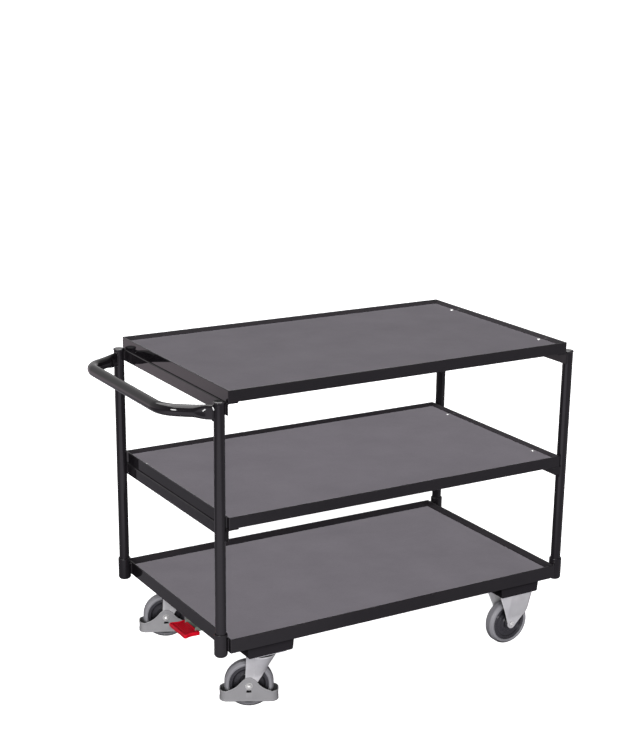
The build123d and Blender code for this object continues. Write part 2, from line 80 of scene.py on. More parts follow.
# ------------------------------------------------------------------ mesh tools
def rounded(points, radii, seg=4):
    """Closed outline with its corners rounded."""
    out, n = [], len(points)
    for i in range(n):
        r = radii[i] if isinstance(radii, (list, tuple)) else radii
        p0, p, p1 = Vector(points[i - 1]), Vector(points[i]), Vector(points[(i + 1) % n])
        a, b = (p0 - p), (p1 - p)
        la, lb = a.length, b.length
        a.normalize(), b.normalize()
        ang = a.angle(b)
        if r <= 0 or ang > pi - 1e-3:
            out.append((p.x, p.y))
            continue
        d = min(r / tan(ang / 2), 0.49 * la, 0.49 * lb)
        r = d * tan(ang / 2)
        c = p + (a + b).normalized() * (r / sin(ang / 2))
        s, e = p + a * d - c, p + b * d - c
        a0 = atan2(s.y, s.x)
        turn = atan2(s.x * e.y - s.y * e.x, s.dot(e))
        for k in range(seg + 1):
            t = a0 + turn * k / seg
            out.append((c.x + r * cos(t), c.y + r * sin(t)))
    return out


def inset(poly, d):
    """A counter-clockwise outline moved inwards by d."""
    out, n = [], len(poly)
    for i in range(n):
        p0, p, p1 = Vector(poly[i - 1]), Vector(poly[i]), Vector(poly[(i + 1) % n])
        e0, e1 = (p - p0), (p1 - p)
        if e0.length < 1e-9 or e1.length < 1e-9:
            e0 = e1 = p1 - p0
        e0.normalize(), e1.normalize()
        n0, n1 = Vector((-e0.y, e0.x)), Vector((-e1.y, e1.x))
        m = (n0 + n1) / max(0.3, 1 + n0.dot(n1))
        q = p + m * d
        out.append((q.x, q.y))
    return out


def lerp_at(points, x):
    """Piecewise straight line through sorted (x, y) points."""
    if x <= points[0][0]:
        return points[0][1]
    for (x0, y0), (x1, y1) in zip(points, points[1:]):
        if x <= x1:
            return y0 + (y1 - y0) * (x - x0) / (x1 - x0)
    return points[-1][1]


def spline_at(points, x):
    """Smooth line through sorted (x, y) points, with level ends."""
    if x <= points[0][0]:
        return points[0][1]
    n = len(points)
    for i in range(n - 1):
        (x0, y0), (x1, y1) = points[i], points[i + 1]
        if x <= x1:
            h = x1 - x0
            m0 = (y1 - points[i - 1][1]) / (x1 - points[i - 1][0]) if i else 0.0
            m1 = (points[i + 2][1] - y0) / (points[i + 2][0] - x0) if i + 2 < n else 0.0
            t = (x - x0) / h
            return ((2 * t**3 - 3 * t**2 + 1) * y0 + (t**3 - 2 * t**2 + t) * h * m0 + (-2 * t**3 + 3 * t**2) * y1 + (t**3 - t**2) * h * m1)
    return points[-1][1]


def smooth(x):
    x = max(0.0, min(1.0, x))
    return x * x * (3 - 2 * x)


def bend(x, w):
    """max(0, x) with its corner rounded over w each way."""
    if x <= -w:
        return 0.0
    if x >= w:
        return x
    return (x + w) ** 2 / (4 * w)


class Shape:
    """Vertices and faces of one piece, gathered in millimetres in the row frame."""

    def __init__(self):
        self.v, self.f = [], []

    def loft(self, loops, ring=False, caps=True):
        """Closed loops of equal length joined in order; ring joins the last to the first."""
        base, n, k = len(self.v), len(loops[0]), len(loops)
        for lp in loops:
            self.v += [tuple(p) for p in lp]
        for i in range(k if ring else k - 1):
            a, b = base + i * n, base + ((i + 1) % k) * n
            for j in range(n):
                j2 = (j + 1) % n
                self.f.append((a + j, a + j2, b + j2, b + j))
        if caps and not ring:
            self.f.append(tuple(base + j for j in reversed(range(n))))
            self.f.append(tuple(base + (k - 1) * n + j for j in range(n)))

    def lathe(self, profile, n, place, ring=True):
        """Outline of (radius, along) points turned about an axis; place(x, y, along) puts it in the row frame."""
        loops = []
        for r, h in profile:
            loops.append([place(r * cos(2 * pi * k / n), r * sin(2 * pi * k / n), h) for k in range(n)])
        self.loft(loops, ring=ring)

    def sheet(self, grid, thick):
        """Open grid of outer points, thickened inwards into a closed plate."""
        rows, cols = len(grid), len(grid[0])
        pts = [[Vector(p) for p in row] for row in grid]
        nrm = []
        for i in range(rows):
            line = []
            for j in range(cols):
                du = pts[min(i + 1, rows - 1)][j] - pts[max(i - 1, 0)][j]
                dv = pts[i][min(j + 1, cols - 1)] - pts[i][max(j - 1, 0)]
                line.append(du.cross(dv).normalized())
            nrm.append(line)
        base = len(self.v)
        for i in range(rows):
            self.v += [tuple(p) for p in pts[i]]
        for i in range(rows):
            self.v += [tuple(p - nn * thick) for p, nn in zip(pts[i], nrm[i])]
        off = rows * cols

        def at(i, j, s):
            return base + s * off + i * cols + j

        for i in range(rows - 1):
            for j in range(cols - 1):
                self.f.append((at(i, j, 0), at(i + 1, j, 0), at(i + 1, j + 1, 0), at(i, j + 1, 0)))
                self.f.append((at(i, j, 1), at(i, j + 1, 1), at(i + 1, j + 1, 1), at(i + 1, j, 1)))
        rim = ([(0, j) for j in range(cols)] + [(i, cols - 1) for i in range(1, rows)] + [(rows - 1, j) for j in range(cols - 2, -1, -1)]
               + [(i, 0) for i in range(rows - 2, 0, -1)])
        for (i0, j0), (i1, j1) in zip(rim, rim[1:] + rim[:1]):
            self.f.append((at(i0, j0, 0), at(i0, j0, 1), at(i1, j1, 1), at(i1, j1, 0))[::-1])

    def prism(self, outline, place, h0, h1, edge=0.5, steps=2):
        """Counter-clockwise outline raised from h0 to h1 with both its rims rounded."""
        levels = []
        for k in range(steps + 1):
            a = pi / 2 * k / steps
            levels.append((edge * (1 - sin(a)), h0 + edge * (1 - cos(a))))
        for k in range(steps + 1):
            a = pi / 2 * k / steps
            levels.append((edge * (1 - cos(a)), h1 - edge * (1 - sin(a))))
        self.loft([[place(x, y, h) for x, y in inset(outline, d)] for d, h in levels])

    def hex_head(self, across, h, place, chamfer=0.14, turn=0.0):
        """Hexagon head or nut from 0 to h, its top corners cut by a cone."""
        n, r = 48, across / sqrt(3.0)

        def radius(t):
            t = (t + turn) % (pi / 3) - pi / 6
            return across / 2 / cos(t)

        rows = []
        for lift, cut in ((0.0, 0.985), (0.3, 1.0), (h - chamfer * across * 0.55, 1.0), (h - 0.25, None), (h, 0.0)):
            loop = []
            for k in range(n):
                t = 2 * pi * k / n
                rr = radius(t)
                z = lift
                if cut is None:
                    rr = min(rr, across / 2 * 1.01)
                    z = h - 0.3
                elif cut == 0.0:
                    rr = across / 2 * 0.93
                elif lift > 0.5:
                    z = lift - (rr - across / 2) * 0.35
                else:
                    rr *= cut
                loop.append(place(rr * cos(t), rr * sin(t), z))
            rows.append(loop)
        self.loft(rows)

    def bead(self, path, side, radius, pitch=3.2, n=10):
        """Weld bead along a path of (point, outward direction); its ripples follow the pitch."""
        pts = [Vector(p) for p in path]
        outs = [Vector(s).normalized() for s in side]
        length = [0.0]
        for a, b in zip(pts, pts[1:]):
            length.append(length[-1] + (b - a).length)
        total = length[-1]
        steps = max(8, int(total / pitch * 5))
        loops = []
        for k in range(steps + 1):
            s = total * k / steps
            i = 0
            while i < len(pts) - 2 and length[i + 1] < s:
                i += 1
            t = (s - length[i]) / max(1e-9, length[i + 1] - length[i])
            p = pts[i].lerp(pts[i + 1], t)
            o = outs[i].lerp(outs[i + 1], t).normalized()
            d = (pts[i + 1] - pts[i]).normalized()
            w = d.cross(o).normalized()
            end = min(s, total - s)
            r = radius * (0.45 + 0.55 * smooth(end / 3.0)) * (1 + 0.10 * cos(2 * pi * s / pitch))
            loops.append([p + (o * sin(2 * pi * j / n) * 0.8 + w * cos(2 * pi * j / n)) * r for j in range(n)])
        self.loft(loops)


def finish_mesh(me, sharp):
    bm = bmesh.new()
    bm.from_mesh(me)
    bmesh.ops.remove_doubles(bm, verts=bm.verts, dist=1e-7)
    bmesh.ops.dissolve_degenerate(bm, edges=bm.edges, dist=1e-7)
    bmesh.ops.recalc_face_normals(bm, faces=bm.faces)
    layer = bm.verts.layers.float.new("edge")
    for v in bm.verts:
        worst = 0.0
        for e in v.link_edges:
            if len(e.link_faces) == 2:
                worst = max(worst, e.calc_face_angle_signed(0.0))
        v[layer] = max(0.0, min(1.0, (worst - radians(9)) / radians(18)))
    bm.to_mesh(me)
    bm.free()
    me.polygons.foreach_set("use_smooth", [True] * len(me.polygons))
    me.set_sharp_from_angle(angle=radians(sharp))
    me.update()


def piece(name, shape, body, slot, node=None, sharp=38, bevel=0.0, seg=2):
    me = bpy.data.meshes.new(name)
    me.from_pydata([(x / 1000, y / 1000, z / 1000) for x, y, z in shape.v], [], shape.f)
    me.materials.append(MATERIAL[slot])
    finish_mesh(me, sharp)
    obj = bpy.data.objects.new(name, me)
    scene.collection.objects.link(obj)
    if bevel:
        add_bevel(obj, bevel, seg)
    n = obj.modifiers.new("normals", "WEIGHTED_NORMAL")
    n.weight, n.keep_sharp = 70, True
    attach(obj, body)
    if node:
        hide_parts(*([node] if isinstance(node, str) else node))
    return obj


def add_bevel(obj, width, seg=2, angle=35):
    b = obj.modifiers.new("edges", "BEVEL")
    b.width, b.segments, b.limit_method, b.angle_limit = width / 1000, seg, "ANGLE", radians(angle)
    b.harden_normals = True
    b.use_clamp_overlap = True
    return b


def soften(node, width, seg=2):
    """Rounds the edges of a CAD piece that keeps its own shape."""
    o = nodes[node]
    w = o.modifiers.new("join", "WELD")
    w.merge_threshold = 1e-6
    d = o.modifiers.new("flats", "DECIMATE")
    d.decimate_type, d.angle_limit = "DISSOLVE", radians(0.6)
    if width:
        add_bevel(o, width, seg, 30)
    n = o.modifiers.new("normals", "WEIGHTED_NORMAL")
    n.weight, n.keep_sharp = 60, True


# ------------------------------------------------------------------ materials
class Nodes:
    def __init__(self, name):
        self.mat = bpy.data.materials.new(name)
        self.mat.use_nodes = True
        self.nt = self.mat.node_tree
        self.nt.nodes.clear()
        self.out = self.new("ShaderNodeOutputMaterial")
        self.bsdf = self.new("ShaderNodeBsdfPrincipled")
        self.link(self.bsdf.outputs[0], self.out.inputs[0])
        self.coord = self.new("ShaderNodeTexCoord").outputs["Object"]

    def new(self, kind):
        return self.nt.nodes.new(kind)

    def link(self, a, b):
        self.nt.links.new(a, b)

    def put(self, **values):
        for key, value in values.items():
            self.bsdf.inputs[key.replace("_", " ")].default_value = value

    def stretch(self, sx, sy, sz, turn=(0, 0, 0)):
        m = self.new("ShaderNodeMapping")
        m.inputs["Scale"].default_value = (sx, sy, sz)
        m.inputs["Rotation"].default_value = turn
        self.link(self.coord, m.inputs["Vector"])
        return m.outputs["Vector"]

    def noise(self, scale, detail=2.0, rough=0.5, vec=None, distort=0.0):
        n = self.new("ShaderNodeTexNoise")
        n.inputs["Scale"].default_value = scale
        n.inputs["Detail"].default_value = detail
        n.inputs["Roughness"].default_value = rough
        n.inputs["Distortion"].default_value = distort
        self.link(vec or self.coord, n.inputs["Vector"])
        return n.outputs["Fac"]

    def cells(self, scale, vec=None, feature="F1"):
        n = self.new("ShaderNodeTexVoronoi")
        n.feature = feature
        n.inputs["Scale"].default_value = scale
        self.link(vec or self.coord, n.inputs["Vector"])
        return n.outputs["Distance"], n.outputs["Color"]

    def span(self, fac, lo, hi, to_lo, to_hi):
        m = self.new("ShaderNodeMapRange")
        m.inputs["From Min"].default_value, m.inputs["From Max"].default_value = lo, hi
        m.inputs["To Min"].default_value, m.inputs["To Max"].default_value = to_lo, to_hi
        self.link(fac, m.inputs["Value"])
        return m.outputs["Result"]

    def mix(self, fac, a, b):
        m = self.new("ShaderNodeMix")
        m.data_type = "RGBA"
        for key, value in (("A", a), ("B", b)):
            socket = [s for s in m.inputs if s.name == key and s.type == "RGBA"][0]
            if isinstance(value, tuple):
                socket.default_value = (*value, 1.0)
            else:
                self.link(value, socket)
        if isinstance(fac, float):
            m.inputs["Factor"].default_value = fac
        else:
            self.link(fac, m.inputs["Factor"])
        return [s for s in m.outputs if s.type == "RGBA"][0]

    def math(self, op, a, b=0.0):
        m = self.new("ShaderNodeMath")
        m.operation = op
        for i, value in enumerate((a, b)):
            if isinstance(value, (int, float)):
                m.inputs[i].default_value = value
            else:
                self.link(value, m.inputs[i])
        return m.outputs[0]

    def bump(self, height, strength, distance, normal=None):
        b = self.new("ShaderNodeBump")
        b.inputs["Strength"].default_value = strength
        b.inputs["Distance"].default_value = distance
        self.link(height, b.inputs["Height"])
        if normal:
            self.link(normal, b.inputs["Normal"])
        return b.outputs["Normal"]

    def attribute(self, name):
        a = self.new("ShaderNodeAttribute")
        a.attribute_name = name
        return a.outputs["Fac"]

    def edge(self):
        return self.attribute("edge")

    def up(self):
        """How far the surface faces upwards."""
        g = self.new("ShaderNodeNewGeometry")
        s = self.new("ShaderNodeSeparateXYZ")
        self.link(g.outputs["Normal"], s.inputs[0])
        return s.outputs["Z"]

    def hollow(self, reach, lo, hi):
        """0 deep between other surfaces, 1 in the open."""
        a = self.new("ShaderNodeAmbientOcclusion")
        a.samples = 8
        a.inputs["Distance"].default_value = reach
        return self.span(a.outputs["AO"], lo, hi, 0.0, 1.0)

    def color(self, socket):
        self.link(socket, self.bsdf.inputs["Base Color"])

    def rough(self, socket):
        self.link(socket, self.bsdf.inputs["Roughness"])

    def normal(self, socket):
        self.link(socket, self.bsdf.inputs["Normal"])


def powder_coat(name, dark, light, worn, rough_lo, rough_hi, peel, level, deep=None):
    m = Nodes(name)
    broad = m.noise(5.0, 3.0, 0.55)
    fine = m.noise(900.0, 2.0, 0.6)
    tone = m.mix(m.span(broad, 0.35, 0.65, 0.0, 1.0), dark, light)
    speck = m.mix(m.span(fine, 0.45, 0.75, 0.0, 0.35), tone, worn)
    rub = m.math("MULTIPLY", m.edge(), m.span(m.noise(60.0, 4.0, 0.65), 0.35, 0.70, 0.05, 0.75))
    tone = m.mix(rub, speck, worn)
    # painted light: paler streaks on the rims' inner faces, where the vertex attribute marks them, stand in for light
    # falling there
    painted_rim_light = m.math("MULTIPLY", m.attribute("pale_marks"), m.span(m.noise(1.0, 4.0, 0.6, m.stretch(30.0, 30.0, 260.0)), 0.3, 0.7, 0.75, 1.0))
    tone = m.mix(painted_rim_light, tone, (0.066, 0.061, 0.066))
    # painted shade: near other surfaces the coat is darkened towards black and its specular level lowered, standing in
    # for occlusion
    if deep:
        open_air = m.hollow(*deep)
        tone = m.mix(m.span(open_air, 0.0, 1.0, 0.15, 1.0), (0.0, 0.0, 0.0), tone)
        m.link(m.span(open_air, 0.0, 1.0, 0.0, level), m.bsdf.inputs["Specular IOR Level"])
    else:
        m.put(Specular_IOR_Level=level)
    m.color(tone)
    m.rough(m.span(m.math("ADD", m.math("MULTIPLY", fine, 0.4), m.math("MULTIPLY", m.noise(28.0, 3.0), 0.6)), 0.3, 0.7, rough_lo, rough_hi))
    m.normal(m.bump(m.noise(430.0, 2.5, 0.5), peel, 0.0006, m.bump(fine, peel * 0.4, 0.0002)))
    return m.mat


def laminate(name):
    m = Nodes(name)
    cloud = m.noise(7.0, 4.0, 0.6)
    grain = m.noise(1.0, 4.0, 0.65, m.stretch(160.0, 900.0, 900.0))
    pearl, _ = m.cells(620.0, feature="SMOOTH_F1")
    tone = m.mix(m.span(cloud, 0.3, 0.7, 0.0, 1.0), (0.258, 0.241, 0.267), (0.292, 0.272, 0.302))
    tone = m.mix(m.span(grain, 0.45, 0.80, 0.0, 0.22), tone, (0.400, 0.378, 0.410))
    tone = m.mix(m.span(m.noise(240.0, 3.0, 0.7), 0.58, 0.80, 0.0, 0.35), tone, (0.163, 0.152, 0.172))
    pale_marks = m.noise(1.0, 5.0, 0.7, m.stretch(18.0, 240.0, 240.0, (0, 0, 0.5)))
    tone = m.mix(m.span(pale_marks, 0.66, 0.80, 0.0, 0.18), tone, (0.386, 0.372, 0.393))
    m.color(tone)
    m.rough(m.span(m.math("ADD", m.math("MULTIPLY", cloud, 0.5), m.math("MULTIPLY", grain, 0.5)), 0.3, 0.7, 0.50, 0.64))
    m.normal(m.bump(pearl, 0.16, 0.0004, m.bump(grain, 0.10, 0.0003)))
    m.put(Specular_IOR_Level=0.0)
    return m.mat


def zinc(name, dark, light, tint, rough_lo, rough_hi, line=(40.0, 40.0, 900.0), metal=1.0, deep=(0.025, 0.12, 0.50)):
    m = Nodes(name)
    cloud = m.noise(26.0, 4.0, 0.6)
    rolled = m.noise(1.0, 4.0, 0.6, m.stretch(*line))
    spangle, tile = m.cells(210.0)
    tone = m.mix(m.span(cloud, 0.3, 0.7, 0.0, 1.0), dark, light)
    tone = m.mix(m.span(m.noise(11.0, 2.0), 0.42, 0.66, 0.0, 0.45), tone, tint)
    tone = m.mix(m.span(rolled, 0.45, 0.75, 0.0, 0.30), tone, light)
    rub = m.math("MULTIPLY", m.edge(), m.span(m.noise(90.0, 3.0), 0.35, 0.65, 0.15, 0.8))
    tone = m.mix(rub, tone, (0.80, 0.795, 0.80))
    # painted shade: near other parts the zinc is darkened towards near black
    m.color(m.mix(m.hollow(*deep), (0.03, 0.03, 0.033), tone))
    m.rough(m.span(m.math("ADD", m.math("MULTIPLY", rolled, 0.5), m.math("MULTIPLY", cloud, 0.5)), 0.3, 0.7, rough_lo, rough_hi))
    m.normal(m.bump(rolled, 0.05, 0.0003, m.bump(spangle, 0.03, 0.0003)))
    m.put(Metallic=metal)
    return m.mat


def moulded(name, dark, light, rub_color, rough_lo, rough_hi, grain=700.0, strength=0.10, level=0.45, deep=(0.05, 0.22, 0.70)):
    m = Nodes(name)
    cloud = m.noise(20.0, 3.0, 0.5)
    skin, _ = m.cells(grain, feature="SMOOTH_F1")
    fine = m.noise(grain * 1.6, 2.0, 0.6)
    tone = m.mix(m.span(cloud, 0.3, 0.7, 0.0, 1.0), dark, light)
    tone = m.mix(m.span(fine, 0.55, 0.8, 0.0, 0.25), tone, rub_color)
    rub = m.math("MULTIPLY", m.edge(), m.span(m.noise(75.0, 4.0, 0.6), 0.35, 0.7, 0.1, 0.7))
    tone = m.mix(rub, tone, rub_color)
    # painted shade: near other parts the plastic is darkened towards 0.12 of its dark tone
    m.color(m.mix(m.hollow(*deep), (dark[0] * 0.12, dark[1] * 0.12, dark[2] * 0.12), tone))
    m.rough(m.span(m.math("ADD", m.math("MULTIPLY", cloud, 0.6), m.math("MULTIPLY", fine, 0.4)), 0.3, 0.7, rough_lo, rough_hi))
    m.normal(m.bump(skin, strength, 0.0004, m.bump(fine, strength * 0.5, 0.0002)))
    m.put(Specular_IOR_Level=level)
    return m.mat


def rubber(name):
    m = Nodes(name)
    cloud = m.noise(34.0, 4.0, 0.6)
    fine = m.noise(1100.0, 3.0, 0.65)
    tone = m.mix(m.span(cloud, 0.3, 0.7, 0.0, 1.0), (0.162, 0.159, 0.173), (0.194, 0.191, 0.205))
    tone = m.mix(m.span(fine, 0.5, 0.8, 0.0, 0.35), tone, (0.108, 0.108, 0.114))
    dust = m.math("MULTIPLY", m.span(m.noise(140.0, 4.0, 0.7), 0.5, 0.75, 0.0, 0.5), m.edge())
    tone = m.mix(dust, tone, (0.26, 0.26, 0.266))
    # painted shade: near other parts, such as under the guard, the tyre is darkened towards near black
    m.color(m.mix(m.hollow(0.05, 0.22, 0.70), (0.014, 0.014, 0.015), tone))
    m.rough(m.span(cloud, 0.3, 0.7, 0.46, 0.58))
    m.normal(m.bump(fine, 0.14, 0.0003, m.bump(m.noise(150.0, 3.0), 0.05, 0.0006)))
    m.put(Specular_IOR_Level=0.35)
    return m.mat


# the last triple given to black_beam, bright_fastener, zinc_bar and hub_plastic sets the reach and strength of the
# painted shade near other parts
MATERIAL = {
    "black_frame": powder_coat("black_frame_coat", (0.0050, 0.0043, 0.0054), (0.0064, 0.0055, 0.0069), (0.020, 0.018, 0.020), 0.03, 0.06, 0.008, 0.31),
    "black_beam": powder_coat("black_beam_coat", (0.0060, 0.0052, 0.0066), (0.0074, 0.0064, 0.0081), (0.020, 0.018, 0.020), 0.10, 0.16, 0.015, 0.20, (0.08, 0.70, 0.95)),
    "shelf_board": laminate("shelf_laminate"),
    "cap_plastic": moulded("cap_moulded", (0.012, 0.011, 0.013), (0.017, 0.016, 0.018), (0.05, 0.05, 0.05), 0.10, 0.16, 900.0, 0.03),
    "bright_fastener": zinc("bright_zinc", (0.58, 0.575, 0.57), (0.68, 0.675, 0.67), (0.60, 0.60, 0.63), 0.22, 0.34, (500.0, 500.0, 500.0), 0.5, (0.006, 0.25, 0.90)),
    "zinc_sheet": zinc("zinc_sheet_steel", (0.52, 0.515, 0.53), (0.63, 0.625, 0.64), (0.55, 0.55, 0.58), 0.30, 0.42, (220.0, 220.0, 12.0), 0.5),
    "zinc_bar": zinc("zinc_bar_steel", (0.165, 0.205, 0.175), (0.215, 0.255, 0.220), (0.180, 0.230, 0.180), 0.36, 0.50, (300.0, 30.0, 300.0), 0.3, (0.05, 0.02, 0.30)),
    "hub_plastic": moulded("hub_moulded", (0.026, 0.025, 0.030), (0.033, 0.032, 0.038), (0.065, 0.064, 0.072), 0.24, 0.34, 800.0, 0.06, 0.5, (0.05, 0.35, 0.85)),
    "grey_rubber": rubber("grey_rubber_tyre"),
    "guard_plastic": moulded("guard_moulded", (0.190, 0.187, 0.195), (0.214, 0.211, 0.219), (0.29, 0.287, 0.293), 0.40, 0.52, 650.0, 0.07, 0.35),
    "pedal_plastic": moulded("pedal_moulded", (0.45, 0.0022, 0.012), (0.50, 0.0030, 0.015), (0.58, 0.018, 0.036), 0.28, 0.38, 500.0, 0.05, 0.14),
}
# a darker copy of the zinc for the swivel heads, darkened further near other parts: painted shade for their gaps, which
# lie in deep shadow
SHADED_ZINC = zinc("zinc_swivel_shaded", (0.455, 0.450, 0.464), (0.546, 0.541, 0.555), (0.482, 0.482, 0.510), 0.32, 0.44, (220.0, 220.0, 12.0), 0.45, (0.05, 0.30, 0.62))
SLOT_OF = {row["node"]: row["material_slot"] for row in frame["record"]["subparts"]}
for name, obj in nodes.items():
    for place in obj.material_slots:
        place.material = SHADED_ZINC if name in ("swivel_plate_front", "swivel_plate_back", "kingpins") else MATERIAL[SLOT_OF[name]]


# ------------------------------------------------------------------ trays
def rail(tray, side_name):
    z0, h = TRAY_Z[tray], RIM_H[tray]
    hy = DECK_HY if tray == "bottom" else HY
    prof = rounded([(0, 0), (30, 0), (30, 3), (3, 3), (3, h), (0, h)], [1.4, 0.8, 0.8, 2.2, 0.9, 0.9], 4)
    base, c0, c1 = {"front": (270, (-1, -1), (1, -1)), "right": (0, (1, -1), (1, 1)), "back": (90, (1, 1), (-1, 1)), "left": (180, (-1, 1), (-1, -1))}[side_name]
    loops = []
    for corner, angles in ((c0, (-45, -30, -15, 0)), (c1, (0, 15, 30, 45))):
        for da in angles:
            a = radians(base + da)
            loop = []
            for d, z in prof:
                r = max(2.2 - d, 0.3)
                cx, cy = corner[0] * (HX - d - r), corner[1] * (hy - d - r)
                loop.append((XS + cx + r * cos(a), cy + r * sin(a), z0 + z))
            loops.append(loop)
    s = Shape()
    s.loft(loops)
    return s


PAINTED_RIM_LIGHT = {"top": 0.90, "middle": 0.70, "bottom": 0.40}      # painted light: the rims' inner faces are painted paler, most on the top tray and less on the lower trays that the trays above shade; side rims get more than front and back
for tray in TRAY_Z:
    for side_name in ("front", "back", "left", "right"):
        node = f"{tray}_rail_{side_name}"
        o = piece(node + "_steel", rail(tray, side_name), "frame", "black_frame", node)
        rim_light_marks = o.data.attributes.new("pale_marks", "FLOAT", "POINT")
        amount = PAINTED_RIM_LIGHT[tray] * (1.0 if side_name in ("left", "right") else 0.42)
        for v, mark in zip(o.data.vertices, rim_light_marks.data):
            x, y, z = v.co * 1000
            inner = abs(x - XS) < HX - 2.5 and abs(y) < (DECK_HY if tray == "bottom" else HY) - 2.5 and z > TRAY_Z[tray] + 4.0
            mark.value = amount if inner else 0.0
    soften(tray + "_board", 0.6, 2)

# ------------------------------------------------------------------ end frames
for tray in ("middle", "top"):
    z0 = TRAY_Z[tray]
    for end, sx in (("left", -1), ("right", 1)):
        prof = rounded([(BAR_X, z0 - BAR_W), (BAR_X, z0), (BAR_X - BAR_W, z0), (BAR_X - BAR_W, z0 - 3), (BAR_X - 3, z0 - 3), (BAR_X - 3, z0 - BAR_W)],
                       [0.9, 2.4, 0.9, 0.9, 2.2, 0.9], 4)
        s = Shape()
        s.prism(prof, lambda x, z, y: (XS + sx * x, y, z), -HY, HY, 0.6, 2)
        node = f"crossbar_{tray}_{end}"
        piece(node + "_steel", s, "frame", "black_frame", node)


def upright(x, y):
    return lambda a, b, h: (XS + x + a, y + b, h)


caps, sockets = Shape(), Shape()
SOCKET_R = 11.0                 # rounding of the sockets' lower edge
for end, sx in (("left", -1), ("right", 1)):
    for row, sy in (("front", -1), ("back", 1)):
        at = upright(sx * POST_X, sy * POST_Y)
        s = Shape()
        s.lathe(rounded([(11.45, POST_Z0), (POST_R, POST_Z0), (POST_R, POST_Z0 + 4), (POST_R, POST_Z1 - 4), (POST_R, POST_Z1), (11.45, POST_Z1)],
                        [0.5, 0.5, 0, 0, 0.5, 0.5], 2), 72, at)
        piece(f"post_{row}_{end}_tube", s, "frame", "black_frame", f"post_{row}_{end}")
        caps.lathe(rounded([(0.01, POST_Z1 - 10), (11.3, POST_Z1 - 10), (11.3, POST_Z1), (14.6, POST_Z1), (14.6, POST_Z1 + 2.6), (11.6, POST_Z1 + 4.0), (0.01, POST_Z1 + 4.0)],
                           [0, 0.8, 0.2, 0.5, 1.4, 3.0, 0], 4), 72, at)
        prof = rounded([(13.55, POST_Z0), (13.55, 241.0), (16.8, 241.0), (16.8, 236.0), (16.8, 196.0), (16.8, 180.5), (0.01, 180.5), (0.01, POST_Z0)],
                       [0.2, 0.8, 1.3, 0, 0, SOCKET_R, 0, 0], 7)
        sockets.lathe(prof, 72, at)
        x0, x1 = sx * (HX - 0.6), sx * (HX + 4.5)
        flat = rounded([(-7.0, 192.0), (7.0, 192.0), (7.0, 226.0), (-7.0, 226.0)], 1.5, 2)
        sockets.prism(flat, (lambda a, b, h, y=sy * POST_Y: (XS + h, y + a, b)), min(x0, x1), max(x0, x1), 0.4, 1)
piece("post_caps_moulded", caps, "frame", "cap_plastic", "post_caps")
piece("post_sockets_steel", sockets, "frame", "black_frame", "post_sockets")

# ------------------------------------------------------------------ push bow
a0 = Vector((-POST_X, -POST_Y))
corner = Vector((BOW_X, -BOW_Y))
leg = (corner - a0)
leg_len = leg.length
leg_dir = leg.normalized()
grip_dir = Vector((0, 1))
turn = leg_dir.angle(grip_dir)
cut = BOW_BEND * tan(turn / 2)


def bow_centre(s):
    """Point and direction of the near half of the bow, s along it from the post's axis."""
    straight = leg_len - cut
    arc = BOW_BEND * turn
    if s <= straight:
        return a0 + leg_dir * s, leg_dir
    if s <= straight + arc:
        sign = 1.0 if leg_dir.x * grip_dir.y - leg_dir.y * grip_dir.x > 0 else -1.0
        side_dir = Vector((-leg_dir.y, leg_dir.x)) * sign
        c = a0 + leg_dir * straight + side_dir * BOW_BEND
        t = (s - straight) / BOW_BEND * sign
        off = -side_dir * BOW_BEND
        off = Vector((off.x * cos(t) - off.y * sin(t), off.x * sin(t) + off.y * cos(t)))
        d = Vector((leg_dir.x * cos(t) - leg_dir.y * sin(t), leg_dir.x * sin(t) + leg_dir.y * cos(t)))
        return c + off, d
    return corner + grip_dir * (cut + s - straight - arc), grip_dir


def stadium(t, n=64):
    """Round tube pressed to half thickness t: (across, up) points."""
    half = 1.33 * (BOW_R - t)
    girth = 2 * pi * t + 4 * half
    pts = []
    for k in range(n):
        g = girth * k / n
        quarter = [(2 * half, "flat+"), (pi * t, "top"), (2 * half, "flat-"), (pi * t, "low")]
        for length, where in quarter:
            if g <= length or where == "low":
                break
            g -= length
        if where == "flat+":
            pts.append((t, -half + g))
        elif where == "top":
            a = g / t
            pts.append((t * cos(a), half + t * sin(a)))
        elif where == "flat-":
            pts.append((-t, half - g))
        else:
            a = g / t
            pts.append((-t * cos(a), -half - t * sin(a)))
    return pts


half_len = leg_len - cut + BOW_BEND * turn + (BOW_Y - cut)
stations = [11.5, 14, 18, 23, 28] + [28 + 36 * k / 16 for k in range(1, 17)]
stations += [70, 80, 90]
n_arc = 22
s0, s1 = leg_len - cut, leg_len - cut + BOW_BEND * turn
stations = [s for s in stations if s < s0 - 1] + [s0 + (s1 - s0) * k / n_arc for k in range(n_arc + 1)]
stations += [s1 + (half_len - s1) * k / 6 for k in range(1, 7)]
loops = []
for s in stations:
    p, d = bow_centre(s)
    side_v = Vector((d.y, -d.x))
    press = 1 - smooth((s - 28.0) / 36.0)
    t = BOW_R - (BOW_R - 5.2) * press
    dent = 1.1 * press * (1 - press) * 4
    loop = []
    for a, up in stadium(t):
        # the flattened walls sink a little between their rounded rims
        a -= (1 if a > 0 else -1) * dent * exp(-(up / 7.0) ** 2)
        q = p + side_v * a
        loop.append((XS + q.x, q.y, BOW_Z + up - BOW_SLOPE * (q.x - BOW_X) - BOW_DROP * press))
    loops.append(loop)
mirrored = [[(x, -y, z) for x, y, z in lp] for lp in loops[-2::-1]]
bow = Shape()
bow.loft(loops + mirrored)
piece("push_bow_tube", bow, "frame", "black_frame", "push_bow", sharp=60)

